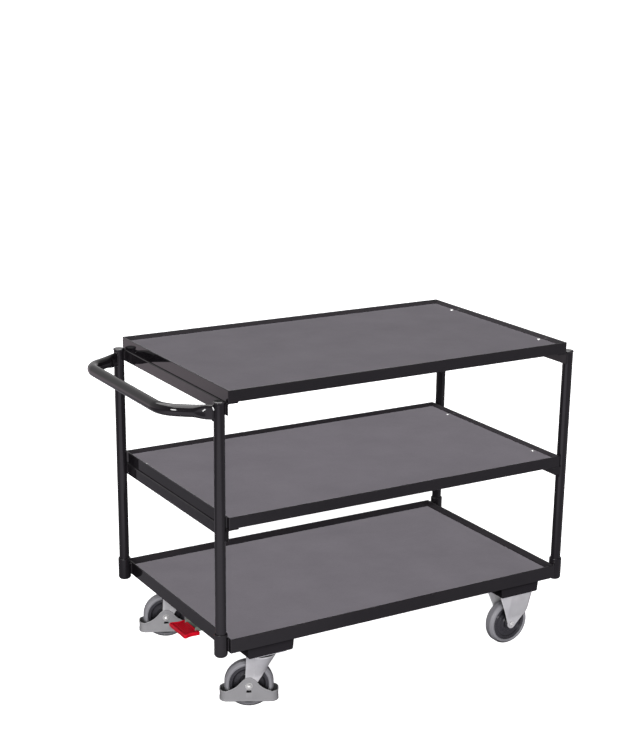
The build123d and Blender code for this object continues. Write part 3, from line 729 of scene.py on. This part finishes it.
# ------------------------------------------------------------------ weld beads
welds = Shape()
for sx in (-1, 1):
    for sy in (-1, 1):
        x, y = sx * POST_X, sy * POST_Y
        for tray in ("middle", "top"):
            z0 = TRAY_Z[tray]
            for s in (-1, 1):
                px, py = XS + sx * (BAR_X + 1.6), y + s * 6.6
                path = [(px, py, z0 - BAR_W + 1.5), (px, py, z0 - 2.0)]
                welds.bead(path, [(sx * 0.6, s, 0)] * 2, 2.0)
        for s in (-1, 1):
            px, py = XS + sx * (HX + 0.9), y + s * 8.2
            welds.bead([(px, py, 193.0), (px, py, 225.0)], [(sx * 0.5, s, 0)] * 2, 2.1)
    # end of the castor beams under the bottom tray
for x, edge in ((-450.5, -1), (-319.5, 1), (325.0, -1), (450.0, 1)):
    for y0 in (-285, -90, 60, 245):
        welds.bead([(XS + x + edge * 0.6, y0, 190.0), (XS + x + edge * 0.6, y0 + 40, 190.0)], [(edge, 0, -0.8)] * 2, 2.2)
end_z = BOW_Z - BOW_SLOPE * (-POST_X - BOW_X) - BOW_DROP
for sy in (-1, 1):
    d = Vector((leg_dir.x, -sy * leg_dir.y))
    across = Vector((-d.y, d.x))
    for s in (-1, 1):
        p = Vector((-POST_X, sy * POST_Y)) + d * 13.2 + across * (5.2 * s)
        path = [(XS + p.x, p.y, end_z - 15.0), (XS + p.x, p.y, end_z + 15.0)]
        welds.bead(path, [(across.x * s + d.x * 0.6, across.y * s + d.y * 0.6, 0)] * 2, 1.8)
    for up, size in ((-1, 3.4), (1, 1.8)):
        p = Vector((-POST_X, sy * POST_Y)) + d * 14.2
        path = [(XS + p.x + across.x * k, p.y + across.y * k, end_z + up * 18.0) for k in (-5.0, 5.0)]
        welds.bead(path, [(d.x * 0.5, d.y * 0.5, up)] * 2, size)
    inward = across if across.y * sy < 0 else -across

    def on_end(s, o, up, d=d, inward=inward, sy=sy):
        q = Vector((-POST_X, sy * POST_Y)) + d * s - inward * o
        return (XS + q.x, q.y, end_z + up)

    for mid, a_end, b_end, half_l, half_w in (((12.6, 7.5, 11.3), (15.0, 6.1, 15.2), (10.2, 8.9, 6.8), 4.6, 1.6), ((34.5, 6.6, 7.0), (31.0, 6.2, 9.5), (38.0, 7.1, 4.5), 4.4, 1.6)):
        along = Vector(on_end(*b_end)) - Vector(on_end(*a_end))
        nrm = Vector((-0.589, 0.750 * sy, 0.30)).normalized()
        u_dir = (along - nrm * along.dot(nrm)).normalized()
        w_dir, c_at = nrm.cross(u_dir), Vector(on_end(*mid))
        flat = rounded([(-half_l, -half_w), (half_l, -half_w), (half_l, half_w), (-half_l, half_w)], half_w * 0.9, 5)
        welds.prism(flat, lambda a, b, h: c_at + u_dir * a + w_dir * b + nrm * h, -3.0, 0.0, 0.3, 2)
# inside corners of the rims
for tray in TRAY_Z:
    zb, zt = TRAY_Z[tray] + STEEL + BOARD_T, TRAY_Z[tray] + RIM_H[tray]
    for sx in (-1, 1):
        for sy in (-1, 1):
            px, py = XS + sx * (HX - 3.3), sy * ((DECK_HY if tray == "bottom" else HY) - 3.3)
            welds.bead([(px, py, zb + 0.5), (px, py, zt - 1.2)], [(-sx, -sy, 0)] * 2, 1.5)
piece("weld_beads", welds, "frame", "black_frame", sharp=60)

# ------------------------------------------------------------------ bolts through the boards
bolts = Shape()
for tray in ("middle", "top"):
    z0 = TRAY_Z[tray]
    zb = z0 + STEEL + BOARD_T
    for sx in (-1, 1):
        for sy in (-1, 1):
            prof = [(0.01, z0 - 11.0), (2.2, z0 - 11.0), (2.9, z0 - 10.3)]
            for k in range(3):
                prof += [(2.55, z0 - 9.9 + k), (2.95, z0 - 9.4 + k)]
            prof += [(2.95, zb), (4.9, zb), (5.25, zb + 0.25)]
            prof += [(5.25 * cos(radians(a)), zb + 0.35 + 2.25 * sin(radians(a))) for a in range(9, 90, 9)] + [(0.01, zb + 2.6)]
            bolts.lathe(prof, 40, upright(sx * BB_X, sy * BB_Y))
piece("board_bolt_heads", bolts, "frame", "bright_fastener", "board_bolts")
soften("board_nuts", 0.3, 1)

# ------------------------------------------------------------------ castor beams and their bolts
soften("castor_beam_left", 1.2, 3)
soften("castor_beam_right", 1.2, 3)
bolts = Shape()
for xc, long, wide in ((FIX_X + 7.0, 60.0, 40.0), (SWIVEL_X, 80.0, 70.0)):
    for sy in (-1, 1):
        for dx in (-1, 1):
            for dy in (-1, 1):
                x, y = xc + dx * long / 2, sy * CASTOR_Y + dy * wide / 2
                zp = CASTOR_H - 4.0

                def down(a, b, h, x=x, y=y, zp=zp):
                    return (XS + x + a, y - b, zp - h)

                bolts.hex_head(13.0, 5.3, down, turn=0.3 * dx + 0.7 * dy)
                bolts.lathe([(0.01, -0.2), (7.6, -0.2), (7.8, 0.1), (7.8, 0.7), (7.5, 0.9), (0.01, 0.9)], 36, down)
                prof = [(0.01, -15.9), (3.3, -15.9), (3.9, -15.3)]
                for k in range(7):
                    prof += [(3.5, -15.0 + k * 1.2), (3.95, -14.4 + k * 1.2)]
                prof += [(3.95, 0.0), (0.01, 0.0)]
                bolts.lathe(prof, 24, down)
piece("castor_bolt_heads", bolts, "frame", "bright_fastener", "castor_bolts")
soften("castor_nuts", 0.4, 1)
for node in ("swivel_plate_front", "swivel_plate_back"):
    soften(node, 0.7, 2)
for node in ("kingpins", "brake_shaft", "shaft_blocks", "brake_plunger_front", "brake_plunger_back"):
    soften(node, 0.4, 1)
soften("pedal_lever", 0.7, 2)


# ------------------------------------------------------------------ wheels
def castor_frame(kind, row):
    """Places castor points: u along the wheel's heading from the axle, v along the axle, z up."""
    sy = -1 if row == "front" else 1
    if kind == "fixed":
        return lambda u, v, z: (XS + FIX_X + u, sy * CASTOR_Y + v, z)
    a = radians(-YAW[row])

    def place(u, v, z):
        u -= TRAIL
        return (XS + SWIVEL_X + u * cos(a) - v * sin(a), sy * CASTOR_Y + u * sin(a) + v * cos(a), z)

    return place


TYRE = rounded([(50.0, -14.0), (50.0, 14.0), (51.0, 15.1), (52.0, 14.9), (53.0, 16.0), (57.0, 16.0), (62.5, 8.6), (62.5, -8.6), (57.0, -16.0), (53.0, -16.0),
                (52.0, -14.9), (51.0, -15.1)], [0, 0.4, 0.5, 0.6, 0.8, 3.6, 4.2, 4.2, 3.6, 0.8, 0.6, 0.5], 6)
half = [(5.05, 20.3), (12.0, 20.3), (13.2, 19.6), (14.9, 18.6), (15.8, 11.4), (18.0, 9.3), (24.0, 8.7), (25.2, 9.5), (27.2, 9.5), (28.4, 8.4), (37.5, 8.0), (40.4, 9.2),
        (41.6, 13.0), (43.0, 14.0), (45.6, 14.0), (46.2, 13.3), (46.8, 14.0), (49.6, 14.0), (50.0, 13.6)]
rad = [0.2, 0.4, 0.5, 0.8, 1.6, 1.6, 0.5, 0.4, 0.4, 0.5, 2.0, 1.4, 0.8, 0.5, 0.2, 0.2, 0.2, 0.2, 0]
HUB = rounded(half + [(r, -w) for r, w in reversed(half)], rad + rad[::-1], 3)
for kind in ("fixed", "swivel"):
    for row in ("front", "back"):
        put = castor_frame(kind, row)

        def spin(a, b, h, put=put):
            return put(a, h, AXLE_Z + b)

        s = Shape()
        s.lathe(TYRE, 112, spin)
        piece(f"{kind}_tyre_{row}_rubber", s, f"{kind}_wheel_{row}", "grey_rubber", f"{kind}_tyre_{row}")
        s = Shape()
        s.lathe(HUB, 112, spin)
        piece(f"{kind}_hub_{row}_moulded", s, f"{kind}_wheel_{row}", "hub_plastic", f"{kind}_hub_{row}")


# ------------------------------------------------------------------ fixed castor brackets
FIX_TOP = CASTOR_H - 4.0
FIX_LEFT = [(49.7, -1.6), (50.4, -4.7), (53.2, -9.0), (57.7, -11.9), (66, -12.6), (103, -26.0), (147, -44.5), (FIX_TOP, -46.0)]
FIX_RIGHT = [(49.7, 1.6), (50.4, 4.7), (53.2, 9.0), (61.5, 15.5), (80, 34), (92.5, 46), (101, 51), (147, 54.5), (FIX_TOP, 55.5)]


def fixed_leg(put, s):
    zs = [49.7, 50.1, 50.8, 51.8, 53.2, 55, 57.7, 60, 62.5, 66, 70, 74, 78, 80, 82, 84, 86, 90, 95, 99, 103, 107, 115, 125, 135, 143, 147, 152, FIX_TOP + 0.6]
    grid = []
    for z in zs:
        ul, ur = lerp_at(FIX_LEFT, z), lerp_at(FIX_RIGHT, z)
        wide = ur - ul
        cols = [ul, ul + 0.04 * wide]
        k0 = max(-17.0, ul + 0.10 * wide)
        k1 = min(45.0, ur - 0.10 * wide)
        cols += [k0 + d * min(1.0, wide / 60) for d in (-2.2, -1.1, 0.0, 1.1, 2.2)]
        cols += [k0 + (k1 - k0) * f for f in (0.2, 0.4, 0.6, 0.8)]
        cols += [k1 + d * min(1.0, wide / 60) for d in (-2.2, -1.1, 0.0, 1.1, 2.2)]
        cols += [ur - 0.04 * wide, ur]
        cols = sorted(max(ul, min(ur, c)) for c in cols)
        for i in range(1, len(cols)):
            cols[i] = max(cols[i], cols[i - 1] + 0.02)
        v0 = 26.5 + 19.5 / 77.5 * bend(z - 82.0, 4.0)
        line = []
        for u in cols:
            v = v0 - 14.0 / 32.0 * bend(-17.0 - u, 1.8) - 0.5 * bend(u - 45.0, 1.8)
            line.append(put(u, s * v, z))
        grid.append(line if s < 0 else line[::-1])
    return grid


def plate_outline(x0, x1, y0, y1, r):
    return rounded([(x0, y0), (x1, y0), (x1, y1), (x0, y1)], r, 6)


for row in ("front", "back"):
    put = castor_frame("fixed", row)
    s = Shape()
    for side_sign in (-1, 1):
        grid = fixed_leg(put, side_sign)
        s.sheet(grid[::-1], SHEET_T)
    s.prism(plate_outline(-48, 57, -48, 48, 6.0), lambda x, y, h: put(x, y, h), FIX_TOP, CASTOR_H, 0.7, 2)
    piece(f"fixed_bracket_{row}_sheet", s, "frame", "zinc_sheet", f"fixed_bracket_{row}", bevel=0.55)

s = Shape()
for row, sgn in (("front", 1), ("back", -1)):
    put = castor_frame("fixed", row)
    sign = sgn

    def out(a, b, h, put=put, sign=sign):
        return put(a, -sign * (26.5 + h), AXLE_Z + b)

    def back(a, b, h, put=put, sign=sign):
        return put(a, sign * (26.5 + h), AXLE_Z + b)

    s.hex_head(15.0, 3.2, out, turn=0.4)
    s.lathe(rounded([(0.01, -1.0), (5.0, -1.0), (5.0, 3.4), (4.0, 4.4), (0.01, 4.4)], [0, 0, 0.6, 0.8, 0], 3), 40, out)
    s.lathe(rounded([(0.01, -53.5), (4.99, -53.5), (4.99, 0.5), (0.01, 0.5)], 0, 2), 40, out)
    s.hex_head(15.0, 6.0, back, turn=0.9)
    s.lathe(rounded([(0.01, 5.0), (4.95, 5.0), (4.95, 7.0), (4.2, 7.5), (0.01, 7.5)], [0, 0, 0.3, 0.3, 0], 2), 32, back)
piece("fixed_axle_bolts", s, "frame", "bright_fastener", "fixed_axles")

# ------------------------------------------------------------------ swivel forks
FORK_BEND_Z = 88.0
FORK_LEFT = [(49.6, -1.6), (50.5, -3.5), (53.0, -6.4), (56.5, -8.3), (61.0, -9.0), (FORK_BEND_Z, -9.0)]
FORK_RIGHT = [(49.6, 1.8), (50.5, 5.0), (53.3, 9.2), (58.5, 13.5), (71.5, 21.8), (FORK_BEND_Z, 31.4)]


def fork_grid(put):
    """Outer face of the pressed sheet: up one leg, spreading to the round crown, over it and down the other leg."""
    r = 2.6
    rim_z = CROWN_Z1 - r
    zs = [49.6, 50.0, 50.7, 51.8, 53.3, 55.3, 57.5, 60, 63, 67, 71.5, 76, 80, 83, 85.5, 88, 90.5, 93, 96, 100, 106, 113, 120, 127, 134, 140, 143.5, rim_z]
    rows = [("leg", z, 0.0) for z in zs] + [("bend", 0.0, 90.0 * k / 5) for k in range(1, 6)] + [("crown", f, 0.0) for f in (0.75, 0.45, 0.15)]
    out = []
    for s in (-1, 1):
        part = []
        for what, x, ang in rows:
            z = x if what == "leg" else rim_z
            zl = min(z, FORK_BEND_Z)
            ul, ur = lerp_at(FORK_LEFT, zl), lerp_at(FORK_RIGHT, zl)
            wide = ur - ul
            k0 = min(16.0, ul + 0.62 * wide)
            m = min(1.0, wide / 34)
            # each column: place along the leg's foot, and bearing on the crown's rim
            cols = [(ul + f * 1.6 * m, 142 - 2.2 * f) for f in (0.0, 0.35, 0.7, 1.0)]
            cols += [(ul + 1.6 * m + (k0 - 1.5 * m - ul - 1.6 * m) * f, 139.8 - 31.8 * f) for f in (0.25, 0.5, 0.75)]
            cols += [(k0 + d * m, 105.0 - 2.0 * d) for d in (-1.5, -0.8, 0.0, 0.8, 1.5)]
            end = ur - 1.8 * m
            cols += [(k0 + 1.5 * m + (end - k0 - 1.5 * m) * f, 102.0 - 84.0 * f) for f in (0.1, 0.2, 0.3, 0.4, 0.5, 0.6, 0.7, 0.8, 0.9)]
            cols += [(end + 1.8 * m * f, 18.0 - 6.0 * f) for f in (0.0, 0.4, 0.7, 1.0)]
            w = bend(z - FORK_BEND_Z, 5.0) / bend(rim_z - FORK_BEND_Z, 5.0)
            fade = 1.0 - w
            line = []
            for u, bearing in cols:
                t = radians(bearing)
                dv = -0.55 * exp(-((u - k0) / 1.1) ** 2) * (0.35 + 0.65 * fade)      # pressed crease
                dv -= 0.45 * bend(ul + 1.6 * m - u, 0.6) * fade                       # rolled edges
                dv -= 0.45 * bend(u - end, 0.6) * fade
                lo_p = Vector((u - TRAIL, FORK_OUT + dv))
                hi_p = Vector((cos(t), sin(t))) * (CROWN_R + dv)
                if what == "leg":
                    q, zz = lo_p.lerp(hi_p, w), z
                elif what == "bend":
                    q = Vector((cos(t), sin(t))) * (CROWN_R - r + (r + dv) * cos(radians(ang)))
                    zz = rim_z + r * sin(radians(ang))
                else:
                    q, zz = Vector((cos(t) * (CROWN_R - r), sin(t) * (CROWN_R - r) * x)), CROWN_Z1
                line.append(put(q.x + TRAIL, s * q.y, zz))
            part.append(line)
        out.append(part)
    return out[0] + out[1][::-1]


def spun(put, u0, sign, base):
    def at(a, b, h):
        return put(u0 + a, sign * (base + h), AXLE_Z + b)
    return at


HUMP = [(0, 37.2), (5, 36.7), (10.5, 34.2), (16, 29.8), (21.5, 23.8), (27, 17.8), (33, 12.6), (40, 8.0), (48, 4.0), (56, 1.5), (64, 0.0)]
for row in ("front", "back"):
    put = castor_frame("swivel", row)
    body = "swivel_" + row
    s = Shape()
    s.sheet(fork_grid(put)[::-1], SHEET_T)
    # lower bearing ring on the crown
    s.lathe(rounded([(20.0, CROWN_Z1 - 0.5), (29.0, CROWN_Z1 - 0.5), (29.0, CROWN_Z1 + 1.6), (20.0, CROWN_Z1 + 1.6)], [0, 0, 0.7, 0.4], 4), 72,
            lambda a, b, h: put(TRAIL + a, b, h))
    o = piece(f"swivel_fork_{row}_sheet", s, body, "zinc_sheet", f"swivel_fork_{row}", bevel=0.5)
    # the fork takes the darker copy of the zinc, painted shade
    o.data.materials[0] = SHADED_ZINC

    # foot guard
    half_l, z0, z1 = 74.9, 20.0, 48.0
    plan = []
    hx, hy, r = half_l, GUARD_OUT, 20.0
    n_side = 52
    for k in range(n_side + 1):
        plan.append((-(hx - r) + 2 * (hx - r) * k / n_side, -hy))
    for k in range(1, 12):
        a = radians(-90 + 90 * k / 12)
        plan.append((hx - r + r * cos(a), -(hy - r) + r * sin(a)))
    for k in range(5):
        plan.append((hx, -(hy - r) + 2 * (hy - r) * k / 4))
    for k in range(1, 12):
        a = radians(90 * k / 12)
        plan.append((hx - r + r * cos(a), hy - r + r * sin(a)))
    for k in range(n_side + 1):
        plan.append((hx - r - 2 * (hx - r) * k / n_side, hy))
    for k in range(1, 12):
        a = radians(90 + 90 * k / 12)
        plan.append((-(hx - r) + r * cos(a), hy - r + r * sin(a)))
    for k in range(5):
        plan.append((-hx, hy - r - 2 * (hy - r) * k / 4))
    for k in range(1, 12):
        a = radians(180 + 90 * k / 12)
        plan.append((-(hx - r) + r * cos(a), -(hy - r) + r * sin(a)))

    def level(d):
        return inset(plan, d)

    tops = [z1 + (spline_at(HUMP, abs(u)) if abs(v) > hy - 1e-6 else 0.0) for u, v in plan]
    # height above the band's foot, as (share of the height, millimetres added), with the depth below the outer face
    rows = [(0, 0.7, 0.2), (0, 1.4, 0.0), (0, 3.6, 0.0), (0, 4.6, 0.25), (0, 5.4, 0.65), (0.380, 0.0, 0.75), (0.476, 0.0, 0.75), (0.6, 0.5, 0.75), (0.85, -1.0, 0.75), (1, -4.6, 0.7), (1, -3.6, 0.3),
            (1, -2.8, 0.0), (1, -1.2, 0.0), (1, -0.5, 0.2), (1, -0.12, 0.6), (1, 0.0, 1.1), (1, 0.0, 2.2), (1, -0.12, 2.6), (1, -0.6, 3.0), (1, -3.0, 3.0), (0.476, 0.0, 3.0), (0.380, 0.0, 3.0),
            (0, 3.0, 3.0), (0, 0.6, 3.0), (0, 0.1, 2.5), (0, 0.0, 1.8), (0, 0.0, 1.0), (0, 0.15, 0.6)]
    loops = []
    for share, extra, depth in rows:
        ring = level(depth)
        loops.append([put(x, y, z0 + (top - z0) * share + extra) for (x, y), top in zip(ring, tops)])
    s = Shape()
    s.loft(loops, ring=True)
    # slot under the axle, through both long walls
    n = len(plan)
    up0 = [i for i, r3 in enumerate(rows) if r3[0] == 0.380][0]
    in0 = [i for i, r3 in enumerate(rows) if r3 == (0.476, 0.0, 3.0)][0]
    for lo_u, hi_u in ((-6.3, 6.3), (6.3, -6.3)):
        j0, j1 = (min(range(n), key=lambda j: abs(plan[j][0] - u) + (0 if plan[j][1] * (lo_u - hi_u) > 0 and abs(plan[j][1]) > hy - 1e-6 else 1e6)) for u in (lo_u, hi_u))
        gone = {tuple(sorted((i * n + j, i * n + j + 1, (i + 1) * n + j + 1, (i + 1) * n + j))) for i in (up0, in0) for j in range(j0, j1)}
        s.f = [f for f in s.f if tuple(sorted(f)) not in gone]
        for j in range(j0, j1):
            s.f.append((up0 * n + j, up0 * n + j + 1, (in0 + 1) * n + j + 1, (in0 + 1) * n + j))
            s.f.append(((up0 + 1) * n + j, in0 * n + j, in0 * n + j + 1, (up0 + 1) * n + j + 1))
        for j in (j0, j1):
            s.f.append((up0 * n + j, (up0 + 1) * n + j, in0 * n + j, (in0 + 1) * n + j))
    # moulded eyelet above the axle
    for sign in (-1, 1):
        s.lathe(rounded([(1.2, -1.0), (3.0, -1.0), (3.0, 0.3), (2.2, 0.55), (1.6, 0.1), (1.2, -0.6)], 0.2, 2), 28,
                lambda a, b, h, sign=sign: put(a, sign * (GUARD_OUT - 0.7 + h), 77.0 + b))
    piece(f"foot_guard_{row}_moulded", s, body, "guard_plastic", f"foot_guard_{row}", sharp=45)

    # axle bolt with a domed nut
    s = Shape()
    near, far = spun(put, 0.0, -1, GUARD_OUT), spun(put, 0.0, 1, GUARD_OUT)
    s.lathe(rounded([(0.01, -0.9), (9.4, -0.9), (9.4, 0.4), (8.9, 0.8), (0.01, 0.8)], [0, 0, 0.3, 0.3, 0], 2), 48, near)
    s.hex_head(13.4, 4.4, near, turn=0.25)
    s.lathe([(0.01, 3.0), (6.1, 3.0), (6.1, 4.0)] + [(6.1 * cos(radians(a)), 4.0 + 4.4 * sin(radians(a))) for a in range(10, 90, 10)] + [(0.01, 8.4)], 48, near)
    s.lathe(rounded([(0.01, -0.9), (10.2, -0.9), (10.2, 0.5), (9.6, 0.9), (0.01, 0.9)], [0, 0, 0.3, 0.3, 0], 2), 48, far)
    s.hex_head(17.0, 5.0, far, turn=0.1)
    s.lathe([(0.01, -53.2), (4.98, -53.2), (4.98, 0.4), (0.01, 0.4)], 40, far)
    piece(f"swivel_axle_{row}_bolt", s, body, "bright_fastener", f"swivel_axle_{row}")

# ------------------------------------------------------------------ pedal pad
outline = [(-499.5, -47), (-491.5, -46.4), (-483.5, -43), (-475.5, -42), (-463.5, -43.5), (-453.5, -44), (-453.5, 44), (-463.5, 43.5), (-475.5, 42), (-483.5, 43), (-491.5, 46.4),
           (-499.5, 47)]
outline = rounded(outline, [5.0, 6, 14, 14, 14, 1.5, 1.5, 14, 14, 14, 6, 5.0], 5)
s = Shape()
levels = [(2.6, 126.0), (1.2, 126.3), (0.3, 127.2), (0.0, 128.7), (0.0, 133.7), (0.25, 135.2), (0.9, 136.3), (2.0, 136.9), (3.2, 137.0), (4.6, 136.6), (5.8, 135.8), (7.2, 135.3),
          (10.0, 135.1)]
s.loft([[(XS + x, y, z) for x, y in inset(outline, d)] for d, z in levels])
for x in (-487.0, -481.5, -476.0, -470.5, -465.0):
    bar = rounded([(x - 1.1, -32), (x + 1.1, -32), (x + 1.1, 32), (x - 1.1, 32)], 1.0, 3)
    s.prism(bar, lambda a, b, h: (XS + a, b, h), 134.0, 136.1, 0.6, 2)
piece("pedal_pad_moulded", s, "pedal", "pedal_plastic", "pedal_pad", sharp=50)

# ------------------------------------------------------------------ floor, light and camera
def plane(name, z, half):
    me = bpy.data.meshes.new(name)
    me.from_pydata([(-half, -half, z), (half, -half, z), (half, half, z), (-half, half, z)], [], [(0, 1, 2, 3)])
    o = bpy.data.objects.new(name, me)
    scene.collection.objects.link(o)
    return o


# pale floor
floor = plane("floor", -0.0002, 150.0)
m = Nodes("floor_pale")
m.color(m.mix(m.span(m.noise(0.8, 3.0), 0.3, 0.7, 0.0, 1.0), (0.80, 0.80, 0.80), (0.82, 0.82, 0.82)))
m.put(Roughness=0.9, Specular_IOR_Level=0.1, Emission_Color=(1.0, 1.0, 1.0, 1.0), Emission_Strength=FLOOR_GLOW)
floor.data.materials.append(m.mat)
floor.visible_glossy = False
floor.visible_diffuse = False

# grey cards under it, dark under the trolley: one lights the matt surfaces, the other only shows in the gloss
def grey_card(name, z, left, right_level, behind_level, pool_at, pool_r, pool_level, far_level, under):
    o = plane(name, z, 40.0)
    m = Nodes(name + "_grey")
    split = m.new("ShaderNodeSeparateXYZ")
    m.link(m.coord, split.inputs[0])
    back_y = m.span(split.outputs["Y"], 1.5, 2.7, 0.0, 1.0)
    behind = m.math("MULTIPLY", back_y, behind_level)
    beside = m.span(split.outputs["X"], -1.2, 0.8, left, right_level)
    under_x = m.span(m.math("ABSOLUTE", m.math("SUBTRACT", split.outputs["X"], 0.05)), under[0], under[1], 1.0, 0.0)
    under_y = m.span(m.math("ABSOLUTE", split.outputs["Y"]), under[2], under[3], 1.0, 0.0)
    away = m.new("ShaderNodeVectorMath")
    away.operation = "DISTANCE"
    away.inputs[1].default_value = (*pool_at, z)
    m.link(m.coord, away.inputs[0])
    pool = m.span(away.outputs["Value"], pool_r[0], pool_r[1], pool_level, 0.0)
    far_x = m.span(split.outputs["X"], -0.5, 0.1, 0.0, 1.0)
    far_y = m.span(split.outputs["Y"], 0.1, 0.6, 0.0, 1.0)
    for ramp in (back_y, beside, under_x, under_y, pool, far_x, far_y):
        ramp.node.interpolation_type = "SMOOTHSTEP"
    shade = m.math("MULTIPLY", m.span(m.math("MULTIPLY", under_x, under_y), 0.0, 1.0, 1.0, CARD_UNDER), m.span(m.math("MULTIPLY", far_x, far_y), 0.0, 1.0, 1.0, far_level))
    m.link(m.math("MULTIPLY", m.math("ADD", m.math("ADD", behind, beside), pool), shade), m.bsdf.inputs["Emission Strength"])
    m.link(m.mix(back_y, (1.0, 0.95, 1.05), (1.0, 0.88, 0.95)), m.bsdf.inputs["Emission Color"])
    m.put(Base_Color=(0.02, 0.02, 0.02, 1.0), Roughness=1.0, Specular_IOR_Level=0.0)
    o.data.materials.append(m.mat)
    o.visible_camera = False
    o.visible_shadow = False
    return o


gloss_card = grey_card("gloss_card", -0.0012, CARD_LEFT, CARD_RIGHT, CARD_BEHIND, (-1.50, -1.50), (0.80, 2.10), POOL_GLOW, 0.25, (0.45, 0.80, 0.22, 0.55))
gloss_card.visible_diffuse = False
matt_card = grey_card("matt_card", -0.0016, 0.32, 0.42, 0.72, (-1.40, -1.80), (0.25, 1.15), 0.75, 1.0, (0.60, 0.95, 0.30, 0.60))
matt_card.visible_glossy = False

# soft box overhead, seen only in the gloss
box_top = plane("soft_box", 3.2, 1.75)
box_top.location.y = 0.5
m = Nodes("soft_box_white")
m.put(Base_Color=(0.0, 0.0, 0.0, 1.0), Roughness=1.0, Specular_IOR_Level=0.0, Emission_Color=(1.0, 0.99, 0.99, 1.0), Emission_Strength=TOP_GLOW)
box_top.data.materials.append(m.mat)
box_top.visible_camera = False
box_top.visible_diffuse = False
box_top.visible_shadow = False


def glow_disc(name, at, aim, radius, strength):
    """Small round lamp that only shows in the gloss."""
    n = 48
    me = bpy.data.meshes.new(name)
    me.from_pydata([(radius * cos(2 * pi * k / n), radius * sin(2 * pi * k / n), 0.0) for k in range(n)], [], [tuple(range(n))])
    o = bpy.data.objects.new(name, me)
    o.location = at
    o.rotation_mode = "QUATERNION"
    o.rotation_quaternion = (Vector(aim) - Vector(at)).to_track_quat("Z", "Y")
    scene.collection.objects.link(o)
    m = Nodes(name + "_white")
    m.put(Base_Color=(0.0, 0.0, 0.0, 1.0), Roughness=1.0, Specular_IOR_Level=0.0, Emission_Color=(1.0, 1.0, 1.0, 1.0), Emission_Strength=strength)
    me.materials.append(m.mat)
    o.visible_camera = False
    o.visible_diffuse = False
    o.visible_shadow = False


az, el = radians(219.3), radians(17.8)
bow_at = Vector((-0.552, -0.243, 0.808))
glow_disc("lamp_front", bow_at + 5.0 * Vector((cos(el) * cos(az), cos(el) * sin(az), sin(el))), bow_at, 0.82, SPOT_GLOW)
glow_disc("lamp_top", (-0.84, 0.71, 3.15), (-0.56, -0.23, 0.81), 0.16, 16.0)

world = bpy.data.worlds.new("studio")
scene.world = world
world.cycles_visibility.diffuse = False
world.use_nodes = True
wt = world.node_tree
sky = wt.nodes["Background"]
sky.inputs["Color"].default_value = (1.0, 0.985, 0.99, 1.0)
where = wt.nodes.new("ShaderNodeTexCoord")
lean = wt.nodes.new("ShaderNodeVectorMath")
lean.operation = "DOT_PRODUCT"
lean.inputs[1].default_value = (-0.30, 0.95, 0.0)
wt.links.new(where.outputs["Generated"], lean.inputs[0])
level = wt.nodes.new("ShaderNodeMapRange")
level.interpolation_type = "SMOOTHSTEP"
level.inputs["From Min"].default_value, level.inputs["From Max"].default_value = -0.1, 0.7
level.inputs["To Min"].default_value, level.inputs["To Max"].default_value = SKY_FRONT, SKY_BACK
wt.links.new(lean.outputs["Value"], level.inputs["Value"])
wt.links.new(level.outputs["Result"], sky.inputs["Strength"])
# plain white behind the trolley where the floor ends
backdrop = wt.nodes.new("ShaderNodeBackground")
backdrop.inputs["Color"].default_value = (1.0, 1.0, 1.0, 1.0)
seen = wt.nodes.new("ShaderNodeLightPath")
choose = wt.nodes.new("ShaderNodeMixShader")
wt.links.new(seen.outputs["Is Camera Ray"], choose.inputs[0])
wt.links.new(sky.outputs[0], choose.inputs[1])
wt.links.new(backdrop.outputs[0], choose.inputs[2])
wt.links.new(choose.outputs[0], wt.nodes["World Output"].inputs["Surface"])


def sun(name, azimuth, elevation, strength, spread):
    light = bpy.data.lights.new(name, "SUN")
    light.energy = strength
    light.angle = radians(spread)
    o = bpy.data.objects.new(name, light)
    az, el = radians(azimuth), radians(elevation)
    o.rotation_mode = "QUATERNION"
    o.rotation_quaternion = (-Vector((cos(el) * cos(az), cos(el) * sin(az), sin(el)))).to_track_quat("-Z", "Y")
    scene.collection.objects.link(o)
    return o


# large soft light from the front
key = sun("front_soft", KEY_AZ, KEY_EL, KEY_E, 34.0)
key.visible_glossy = False
# even light from above on the three boards
fill = sun("board_soft", 90.0, 89.0, BOARD_E, 20.0)
fill.visible_glossy = False
fill.data.use_shadow = False
boards = bpy.data.collections.new("lit_boards")
others = bpy.data.collections.new("lit_others")
for tray in TRAY_Z:
    boards.objects.link(nodes[tray + "_board"])
    others.objects.link(nodes[tray + "_board"])
for member in others.collection_objects:
    member.light_linking.link_state = "EXCLUDE"
fill.light_linking.receiver_collection = boards
key.light_linking.receiver_collection = others
# weak soft light from behind, so that the far sides are readable too
rear = sun("rear_soft", KEY_AZ - 180.0, 24.0, 1.6, 50.0)
rear.visible_glossy = False
rear.light_linking.receiver_collection = others

R = ((0.85923111, -0.51146943, 0.01099601), (-0.14667993, -0.26688917, -0.95249943), (0.49010906, 0.81680425, -0.30434178))
cam = bpy.data.cameras.new("camera")
cam.sensor_width = 36.0
cam.sensor_fit = "AUTO"
cam.lens = 1562.58 * 36.0 / 732.0
cam.shift_x = 0.33 / 732.0
cam.shift_y = (449.89 - 366.0) / 732.0
cam.clip_start, cam.clip_end = 0.05, 400.0
cam_obj = bpy.data.objects.new("camera", cam)
right, down_v, ahead = (Vector(row) for row in R)
roll = 0.00125
right, down_v = (right - down_v * roll).normalized(), (down_v + right * roll).normalized()
pose = Matrix((right, -down_v, -ahead)).transposed().to_4x4()
pose.translation = Vector((-2105.37716961 + XS, -3388.50667915, 1597.9142355 + 225.5)) / 1000.0
cam_obj.matrix_world = pose
scene.collection.objects.link(cam_obj)
scene.camera = cam_obj

scene.view_settings.view_transform = "Standard"
scene.view_settings.look = "None"
